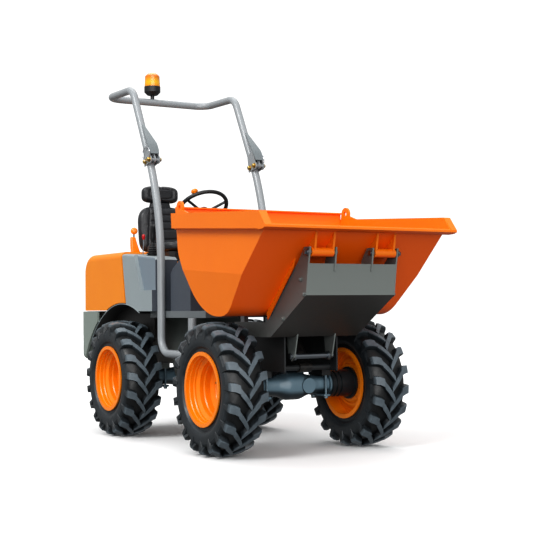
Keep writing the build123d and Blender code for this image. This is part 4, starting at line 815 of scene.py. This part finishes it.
# the same enamel as the tube's, in a duller and thinner coat, with its grey darkened as painted shade
shaded_gusset_grey = finish("enamel_gusset_grey_painted_shade", "#737B7E", "#697174", 0.4, ripple=0.0, dust=0.04)
set_of("hoop_gussets", gussets, "frame_grey", "hoop_body", material=shaded_gusset_grey)
print(len(gussets), "skins, strips", round(STRIP_RISE[0] - STRIP_RISE[-1], 3), "m long")

# %% [markdown]
# ## Seat
# The seat is foam under stitched vinyl: a cushion, a backrest with rounded shoulders and a
# headrest with a rounded panel pressed into its face. Foam bulges between its seams, so each
# pad starts as a slightly small rounded block, is blown up by a cloth simulation with a capped
# swelling, and then has its seams pressed in.

# %% Pad shapes
def block_pad(centre, half, power, crown, lean=0.0, taper=0.0):
    """A closed rounded block: squircle outlines in X and Z stacked along Y, drawn in at both ends
    by (1 - |depth|^3.2)^0.42, crowned in front, narrowed upwards by taper and leaned back."""
    depth = np.linspace(-1, 1, 21)
    size = (1 - np.abs(depth) ** 3.2) ** 0.42
    size[[0, -1]] = 0.30
    x, z = squared_circle(power, 72)
    inset = np.minimum(half[1], min(half[0], half[2])) * (1 - size)
    px = x[None, :] * (half[0] - inset)[:, None]
    pz = z[None, :] * (half[2] - inset)[:, None]
    up = pz / half[2]
    py = depth[:, None] * half[1] + 0 * px
    py = py - crown * (1 - x[None, :] ** 2) * (depth[:, None] < 0) * (1 - np.abs(up) ** 2)
    px = px * (1 - taper * np.clip(up, -1, 1) ** 3 * (pz > 0))
    py = py + lean * pz
    return skinned(np.stack([centre[0] + px, centre[1] + py, centre[2] + pz], -1))


def inflate(pad, voxel, cap):
    """Remeshes a pad evenly, swells it for twenty frames of cloth under pressure without
    gravity, limits how far any point moved to the cap, and leaves a plain mesh."""
    remesh = pad.modifiers.new("Even mesh", "REMESH")
    remesh.mode = "VOXEL"
    remesh.voxel_size = voxel
    apply_modifier(pad, remesh)
    start = mesh_points(pad)
    cloth = pad.modifiers.new("Foam pressure", "CLOTH")
    cloth.settings.quality = 4
    cloth.settings.mass = 0.3
    cloth.settings.use_pressure = True
    cloth.settings.uniform_pressure_force = 4.0
    cloth.settings.effector_weights.gravity = 0.0
    for frame_number in range(1, 21):
        bpy.context.scene.frame_set(frame_number)
    graph = bpy.context.evaluated_depsgraph_get()
    swollen = pad.evaluated_get(graph).to_mesh()
    moved = np.empty(len(swollen.vertices) * 3)
    swollen.vertices.foreach_get("co", moved)
    pad.evaluated_get(graph).to_mesh_clear()
    pad.modifiers.remove(cloth)
    bpy.context.scene.frame_set(1)
    shift = moved.reshape(-1, 3) - start
    far = np.linalg.norm(shift, axis=1)[:, None] + 1e-9
    put_points(pad, start + shift * np.minimum(1, cap / far))
    print(pad.name, "swelled by at most", round(1000 * float(far.max()), 1), "mm, capped at", 1000 * cap)


def press_seams(piece, depth_of, facing):
    """Moves the points on the side that faces a direction inwards by a depth worked out from
    their places, in proportion to how squarely they face it, so seams fade at the edges."""
    normals = np.empty(len(piece.data.vertices) * 3)
    piece.data.vertices.foreach_get("normal", normals)
    normals = normals.reshape(-1, 3)
    points = mesh_points(piece)
    squarely = np.clip(normals @ np.asarray(facing, float) * 1.6 - 0.3, 0, 1)
    put_points(piece, points - normals * (depth_of(points) * squarely)[:, None])


def groove(distance, depth=0.006, width=0.006):
    """Depth of a sewn channel at a distance from its line: a bell curve."""
    return depth * np.exp(-((distance / width) ** 2))


def upholster(pad, node):
    """Smooths a pad, seats it on the hood, and lets it stand for its plain CAD block."""
    smooth = pad.modifiers.new("Smooth vinyl", "SUBSURF")
    smooth.levels = smooth.render_levels = 1
    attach(pad, "hood_body")
    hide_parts(node)
    print(pad.name, "has", len(pad.data.vertices), "points before smoothing")


print("a channel 6 mm deep is", round(1000 * groove(0.006), 1), "mm deep 6 mm from its line")

# %% [markdown]
# The cushion lies flat on its base, so the block is turned on its back. Two long seams part its
# side bolsters from the seat, and three cross seams divide the seat into pleats.

# %% Cushion
cushion_low, cushion_high = corners("seat_cushion")
cushion_mid = (cushion_low + cushion_high) / 2
cushion_half = (cushion_high - cushion_low) / 2
SWELL = 0.007  # the block starts this much smaller all round
SEAT_HALF = 0.135  # half the width between the bolsters


def lying_pad(centre, half, power, crown):
    """The same rounded block laid flat: outlines in X and Y stacked upwards, its top crowned."""
    points, faces = block_pad((0, 0, 0), (half[0], half[2], half[1]), power, crown)
    return np.stack([points[:, 0], points[:, 2], -points[:, 1]], -1) + np.asarray(centre), faces


cushion_block = lying_pad(cushion_mid - [0, 0, 0.001], cushion_half - SWELL, 4.5, 0.002)
cushion = mesh_piece("seat_cushion_vinyl", *cushion_block, FINISHES["seat_vinyl"], None)
inflate(cushion, 0.006, 0.006)


def cushion_seams(points):
    """Two long seams that part the bolsters from the seat and close a little towards the front,
    and three cross seams between them."""
    across = np.abs(points[:, 0])
    along = points[:, 1] - cushion_low[1]
    depth = groove(across - SEAT_HALF - 0.02 * along, 0.009, 0.006)
    for line in (0.11, 0.22, 0.33):
        depth = np.maximum(depth, groove(along - line) * (across < SEAT_HALF))
    return depth


press_seams(cushion, cushion_seams, (0, 0, 1))
upholster(cushion, "seat_cushion")

# %% [markdown]
# The backrest narrows towards rounded shoulders and leans back with its frame. The headrest is a
# small pad with a rounded panel pressed into its face, and stands on two chromed posts behind
# which a vinyl neck joins it to the backrest.

# %% Backrest and headrest
back_mid = corners("seat_backrest").mean(0)
BACK_LEAN, BACK_TAPER = 0.115, 0.16
BACK_HALF = np.array([0.186, 0.040, 0.170])
LUMBAR_HALF = 0.118  # half the width between the backrest's bolsters
back_block = block_pad(back_mid + [0, 0.0, 0.001], BACK_HALF, 5.0, 0.004, BACK_LEAN, BACK_TAPER)
backrest = mesh_piece("seat_backrest_vinyl", *back_block, FINISHES["seat_vinyl"], None)
inflate(backrest, 0.006, 0.006)


def backrest_seams(points):
    """Long seams beside two bolsters, and four channels between them that sag like parabolas."""
    across = np.abs(points[:, 0])
    up = points[:, 2] - back_mid[2]
    depth = groove(across - LUMBAR_HALF + 0.10 * up, 0.010, 0.006)
    for line in (0.105, 0.055, 0.0, -0.07):
        depth = np.maximum(depth, groove(up - line - 0.6 * across**2) * (across < LUMBAR_HALF))
    return depth


press_seams(backrest, backrest_seams, (0, -1, 0))
head_low, head_high = corners("headrest")
head_mid = np.array([0, (head_low[1] + head_high[1]) / 2, head_high[2] - 0.0675])
HEAD_HALF = np.array([0.139, 0.034, 0.062])
head_block = block_pad(head_mid, HEAD_HALF, 4.0, 0.003, 0.0, 0.05)
headrest = mesh_piece("headrest_vinyl", *head_block, FINISHES["seat_vinyl"], None)
inflate(headrest, 0.005, 0.005)


def headrest_panel(points):
    """A groove along a rounded rectangle, |x/a|^4 + |z/b|^4 = 1, and a dip inside it."""
    x, z = points[:, 0] / 0.092, (points[:, 2] - head_mid[2] - 0.006) / 0.036
    level = (np.abs(x) ** 4 + np.abs(z) ** 4) ** 0.25
    return groove((level - 1) * 0.045, 0.007, 0.005) + 0.003 * (level < 1)


press_seams(headrest, headrest_panel, (0, -1, 0))
upholster(backrest, "seat_backrest")
upholster(headrest, "headrest")
POST_LOW, POST_HIGH, POST_X, POST_R = 1.550, 1.600, 0.06, 0.0055
posts = [drawn([(x, head_mid[1], z) for z in np.linspace(POST_LOW, POST_HIGH, 4)], POST_R, 14)
         for x in (-POST_X, POST_X)]
neck = [squircle((0, head_mid[1], z), half, 0.024, 5, 28) for z, half in ((1.556, 0.082), (1.592, 0.072))]
set_of("headrest_posts", posts, "chromed_rod", "hood_body")
set_of("headrest_neck", [skinned(neck)], "seat_vinyl", "hood_body")

# %% [markdown]
# ## Controls
# The tipping lever stands in a rubber bellows, a cone whose radius rises and falls in rings,
# so it can lean any way. Above it is a moulded grip, built from stacked outlines that swell
# and lean forward to fit a palm.

# %% Bellows and grip
lever_low, lever_high = corners("control_lever")
lever = (lever_low[:2] + lever_high[:2]) / 2
foot_z = lever_low[2] + 0.003
FOLDS, BELLOWS_HIGH = 6, 0.088
rise = np.linspace(0, 1, 61)
cone = 0.041 * (1 - rise) + 0.011 * rise
bellows_r = cone * (1 + 0.16 * np.cos(2 * math.pi * FOLDS * rise) * (1 - 0.3 * rise))
bellows_profile = np.column_stack([BELLOWS_HIGH * rise, np.minimum(bellows_r, 0.0415)])
bellows_profile = np.concatenate([[[0, 0]], bellows_profile, [[BELLOWS_HIGH + 0.001, 0]]])
bellows_skin = turned(bellows_profile, (lever[0], lever[1], foot_z), (0, 0, 1), 40)
bellows = mesh_piece("lever_bellows", *bellows_skin, FINISHES["black_plastic"], "rear_unit")
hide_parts("control_lever")

# up the grip: height, how far back its middle is, half its width and half its depth
GRIP = ((0.080, 0.000, 0.008, 0.008), (0.096, 0.000, 0.010, 0.010), (0.104, -0.001, 0.015, 0.017),
        (0.125, -0.003, 0.016, 0.019), (0.150, -0.005, 0.017, 0.020), (0.168, -0.009, 0.018, 0.024),
        (0.184, -0.014, 0.020, 0.030), (0.196, -0.017, 0.019, 0.031), (0.2035, -0.018, 0.014, 0.024))
grip_rings = [squircle((lever[0], lever[1] + y, foot_z + z), rx, ry, 2.6, 28) for z, y, rx, ry in GRIP]
set_of("lever_grip", [skinned(grip_rings)], "black_plastic", "rear_unit", 60)
print("lever stands at", [round(v, 3) for v in lever], "from", round(foot_z, 3))

# %% [markdown]
# A small red-topped throttle lever stands outside the grip. On the steering wheel, an orange
# spinner knob lets the driver turn with one hand. Both knobs are turned profiles.

# %% Throttle and spinner knob
# glossy urea knobs: strong colour and a small bright highlight
signal_red = finish("moulded_knob_red", "#C4181C", "#B01418", 0.3, dust=0.0)
throttle = np.array([lever[0] - 0.046, lever[1] + 0.052, foot_z + 0.012])
stalk = [throttle + np.array([0, -0.010 * t, 0.095 * t]) for t in np.linspace(0, 1, 6)]
set_of("throttle_stalk", [drawn(stalk, 0.0032, 10)], "zinc_pin", "rear_unit")
knob = [(0, 0), (0, 0.006), (0.006, 0.009), (0.022, 0.0115), (0.030, 0.0105), (0.034, 0.006), (0.035, 0)]
red_top = turned(knob, stalk[-1], (0, -0.1, 1), 20)
set_of("throttle_knob", [red_top], "black_plastic", "rear_unit", 60, signal_red)

wheel_joint = joint("steering_wheel_spin")
wheel_mid = np.array(wheel_joint["pos_m"])
column = np.array(wheel_joint["axis"]) / np.linalg.norm(wheel_joint["axis"])
down_back = np.array([0, column[2], -column[1]])
KNOB_R, KNOB_ANGLE = 0.170, math.radians(-127)
knob_way = math.cos(KNOB_ANGLE) * np.array([1.0, 0, 0]) + math.sin(KNOB_ANGLE) * down_back
spinner = [(0.008, 0), (0.008, 0.010), (0.014, 0.009), (0.017, 0.018), (0.026, 0.0235), (0.034, 0.022),
           (0.039, 0.014), (0.040, 0)]
set_of("spinner_knob", [turned(spinner, wheel_mid + KNOB_R * knob_way, column, 28)],
       "wheel_orange", "steering_wheel_body", 70)
hub_cap = [(-0.022, 0), (-0.022, 0.036), (-0.012, 0.036), (-0.006, 0.030), (-0.003, 0.018), (-0.002, 0)]
set_of("steering_hub_cap", [turned(hub_cap, wheel_mid, column, 32)], "black_plastic",
       "steering_wheel_body", 60)
print("steering wheel turns about", [round(v, 3) for v in column])

# %% [markdown]
# Two pedals stand on the floor, and a ribbed rubber mat covers it. The mat is one thin slab with
# low ribs laid across it, each narrower at its top so that a boot finds an edge.

# %% Pedals and mat
pedals = []
for x in (-0.16, 0.16):
    plate = [squircle((x, y, z), 0.034, 0.004, 8, 24) for y, z in ((0.215, 0.842), (0.235, 0.900))]
    arm = [(x, 0.226, 0.868), (x, 0.210, 0.850), (x, 0.196, 0.832), (x, 0.192, 0.822)]
    pedals += [skinned(plate), drawn(arm, 0.006, 10)]
set_of("pedals", pedals, "black_plastic", "rear_unit")
MAT_Y, MAT_HALF_X, MAT_HALF_Y, RIB_PITCH = 0.345, 0.245, 0.145, 0.02
floor_top = corners("floor_plate")[1][2]
slab = [squircle((0, MAT_Y, floor_top + z), MAT_HALF_X, MAT_HALF_Y, 16, 48) for z in (0.0003, 0.004)]
mat = [skinned(slab)]
for y in np.arange(0.215, 0.480, RIB_PITCH):
    low_outline = squircle((0, y, floor_top + 0.003), 0.232, 0.005, 10, 16)
    top_outline = squircle((0, y, floor_top + 0.0065), 0.232, 0.0035, 10, 16)
    mat.append(skinned([low_outline, top_outline]))
set_of("floor_mat", mat, "tyre", "rear_unit")
print("the mat has", len(mat) - 1, "ribs")

# %% [markdown]
# Beside the seat, a moulded orange bracket stands on the hood and carries a round orange lamp
# that looks forwards and a little outwards.

# %% Bracket and lamp
# tinted acrylic and its holder: bright orange under a clear gloss
lamp_orange = finish("moulded_lamp_orange", "#F88A0C", "#F07E08", 0.25, coat=0.3, dust=0.0)
hood_low, hood_high = corners("hood")
# up the bracket: place of its middle, height over the hood, half its width
BRACKET = ((-0.228, 1.006, -0.002, 0.031), (-0.228, 1.006, 0.012, 0.031), (-0.236, 1.008, 0.050, 0.026),
           (-0.242, 1.010, 0.090, 0.019), (-0.244, 1.012, 0.112, 0.016), (-0.244, 1.012, 0.118, 0.010))
bracket = [squircle((x, y, hood_high[2] + z), half, 0.016, 6, 28) for x, y, z, half in BRACKET]
set_of("lamp_bracket", [skinned(bracket)], "amber_lens", "hood_body", 50, lamp_orange)
lamp = [(-0.014, 0), (-0.014, 0.020), (-0.004, 0.024), (0.006, 0.024), (0.014, 0.019), (0.018, 0.010),
        (0.019, 0)]
lamp_at = np.array([-0.238, 1.004, hood_high[2] + 0.160])
lamp_body = turned(lamp, lamp_at, (-0.3, -1, 0), 28)
set_of("side_lamp", [lamp_body], "amber_lens", "hood_body", 60, lamp_orange)
lamp_stalk = [lamp_at + [0, 0.004, dz] for dz in (-0.052, -0.03, -0.01)]
set_of("side_lamp_stalk", [drawn(lamp_stalk, 0.005, 12)], "black_plastic", "hood_body")
print("lamp at", [round(v, 3) for v in lamp_at])

# %% [markdown]
# ## Trim
# A grey rubber edging follows the rim of each wheel arch, a grommet closes a hole in each side
# of the cowl, and a thin black seal runs round the bottom of the hood.

# %% Arch edging, grommets and seal
ARCH_MID = np.array([0.755, 0.170])  # y and z of the arches' common middle
EDGE_R = 0.6995
arch_x = corners("wheel_arches")[1][0] + 0.0005
edging = []
for side in (-1, 1):
    sweep = np.radians(np.linspace(41, 114, 60))
    curve = [np.full(60, side * arch_x), ARCH_MID[0] + EDGE_R * np.cos(sweep),
             ARCH_MID[1] + EDGE_R * np.sin(sweep)]
    edging.append(drawn(np.stack(curve, -1), 0.0035, 10))
set_of("arch_edging", edging, "panel_grey", "rear_unit", 60)
grommet = [(-0.001, 0.006), (-0.001, 0.016), (0.002, 0.0165), (0.004, 0.014), (0.004, 0.009), (0.001, 0.006),
           (-0.001, 0.006)]
grommets = [turned(grommet, (side * 0.355, -0.068, 1.054), (side, 0, 0), 28) for side in (-1, 1)]
set_of("cowl_grommets", grommets, "black_plastic", "rear_unit", 60)
seal_x, seal_rear = hood_high[:2] - 0.014
# the right half of its path in x and y, from the front to the rear and round the corner
seal_half = np.array([(seal_x, seal_rear - 0.32), (seal_x, seal_rear - 0.05),
                      (seal_x - 0.012, seal_rear - 0.012), (seal_x - 0.05, seal_rear)])
seal_path = np.concatenate([seal_half * [-1, 1], seal_half[::-1]])
seal_path = np.column_stack([seal_path, np.full(len(seal_path), hood_low[2] - 0.003)])
set_of("hood_seal", [drawn(seal_path, 0.0027, 10)], "black_plastic", "rear_unit", 60)
print("edging at", round(arch_x, 3), "m, seal at", round(seal_x, 3), "m from the middle")

# %% [markdown]
# ## Studio
# The machine stands on a white floor in a white room. A broad soft sun from its right and
# front lights the panels that face it, a second one from above lights every top, and the room
# fills the shadows, so each fold in the steel reads as a step in brightness.

# %% Floor and room
floor = mesh_piece("studio_floor", [(-30, -30, 0), (30, -30, 0), (30, 30, 0), (-30, 30, 0)], [(0, 1, 2, 3)],
                   bpy.data.materials.new("studio_paper"), None)
paper = floor.data.materials[0]
paper.use_nodes = True
paper.node_tree.nodes["Principled BSDF"].inputs["Base Color"].default_value = linear("#F6F6F6")
paper.node_tree.nodes["Principled BSDF"].inputs["Roughness"].default_value = 0.9
# only the camera sees the floor, so its whiteness does not wash out the paint above it
floor.visible_diffuse = floor.visible_glossy = False

world = bpy.data.worlds.new("studio_world")
bpy.context.scene.world = world
world.use_nodes = True
room = world.node_tree
room.nodes.clear()
# the camera sees a plain white room, while the machine is lit by a dimmer one, bright overhead
way = add_node(room, "TexCoord").outputs["Generated"]
up = add_node(room, "SeparateXYZ", {"Vector": way}).outputs["Z"]
fill = add_node(room, "MapRange", {"Value": up, "From Min": -0.25, "From Max": 0.9, "To Min": 0.22,
                "To Max": 0.75})
lit = add_node(room, "Background", {"Strength": fill})
seen = add_node(room, "Background", {"Strength": 1.0})
for light in (lit, seen):
    light.inputs["Color"].default_value = linear("#FFFFFF")
looked_at = add_node(room, "LightPath").outputs["Is Camera Ray"]
both = add_node(room, "MixShader", {0: looked_at, 1: lit, 2: seen})
add_node(room, "OutputWorld", {"Surface": both})
bpy.context.scene.view_settings.view_transform = "Standard"
bpy.context.scene.view_settings.look = "Medium High Contrast"
print("studio floor", round(floor.dimensions.x), "m wide")

# %% [markdown]
# A sun lamp with a wide disc stands for a soft box far away. One lights the machine's right
# side, one its tops and one its front from low down. The camera stands off to the right, with a
# long lens, so the machine's lines draw together only slightly.

# %% Lights and camera
def soft_sun(name, coming_from, spread, strength):
    """A sun with a wide disc, like a large soft box far away, shining from a direction."""
    light = bpy.data.lights.new(name, "SUN")
    light.angle = math.radians(spread)
    light.energy = strength
    lamp = bpy.data.objects.new(name, light)
    bpy.context.scene.collection.objects.link(lamp)
    lamp.rotation_euler = (-Vector(coming_from)).to_track_quat("-Z", "Y").to_euler()


soft_sun("key_sun", (-1.0, -0.35, 0.9), 30, 1.7)
soft_sun("top_sun", (0.15, 0.35, 1.0), 50, 0.8)
soft_sun("front_sun", (-0.35, -1.0, 0.12), 60, 2.1)

lens = bpy.data.cameras.new("studio_camera")
lens.sensor_width = 36.0
lens.lens = 79.1
camera = bpy.data.objects.new("studio_camera", lens)
bpy.context.scene.collection.objects.link(camera)
camera.location = (-3.6264, -6.6458, 0.8365)
AZIMUTH, PITCH, ROLL = math.radians(-30.417), math.radians(1.813), math.radians(0.52)
ahead = Vector((-math.sin(AZIMUTH) * math.cos(PITCH), math.cos(AZIMUTH) * math.cos(PITCH), math.sin(PITCH)))
level = ahead.to_track_quat("-Z", "Y")
camera.rotation_euler = (Quaternion(ahead, ROLL) @ level).to_euler()
bpy.context.scene.camera = camera
print("camera looks along", [round(v, 3) for v in ahead])
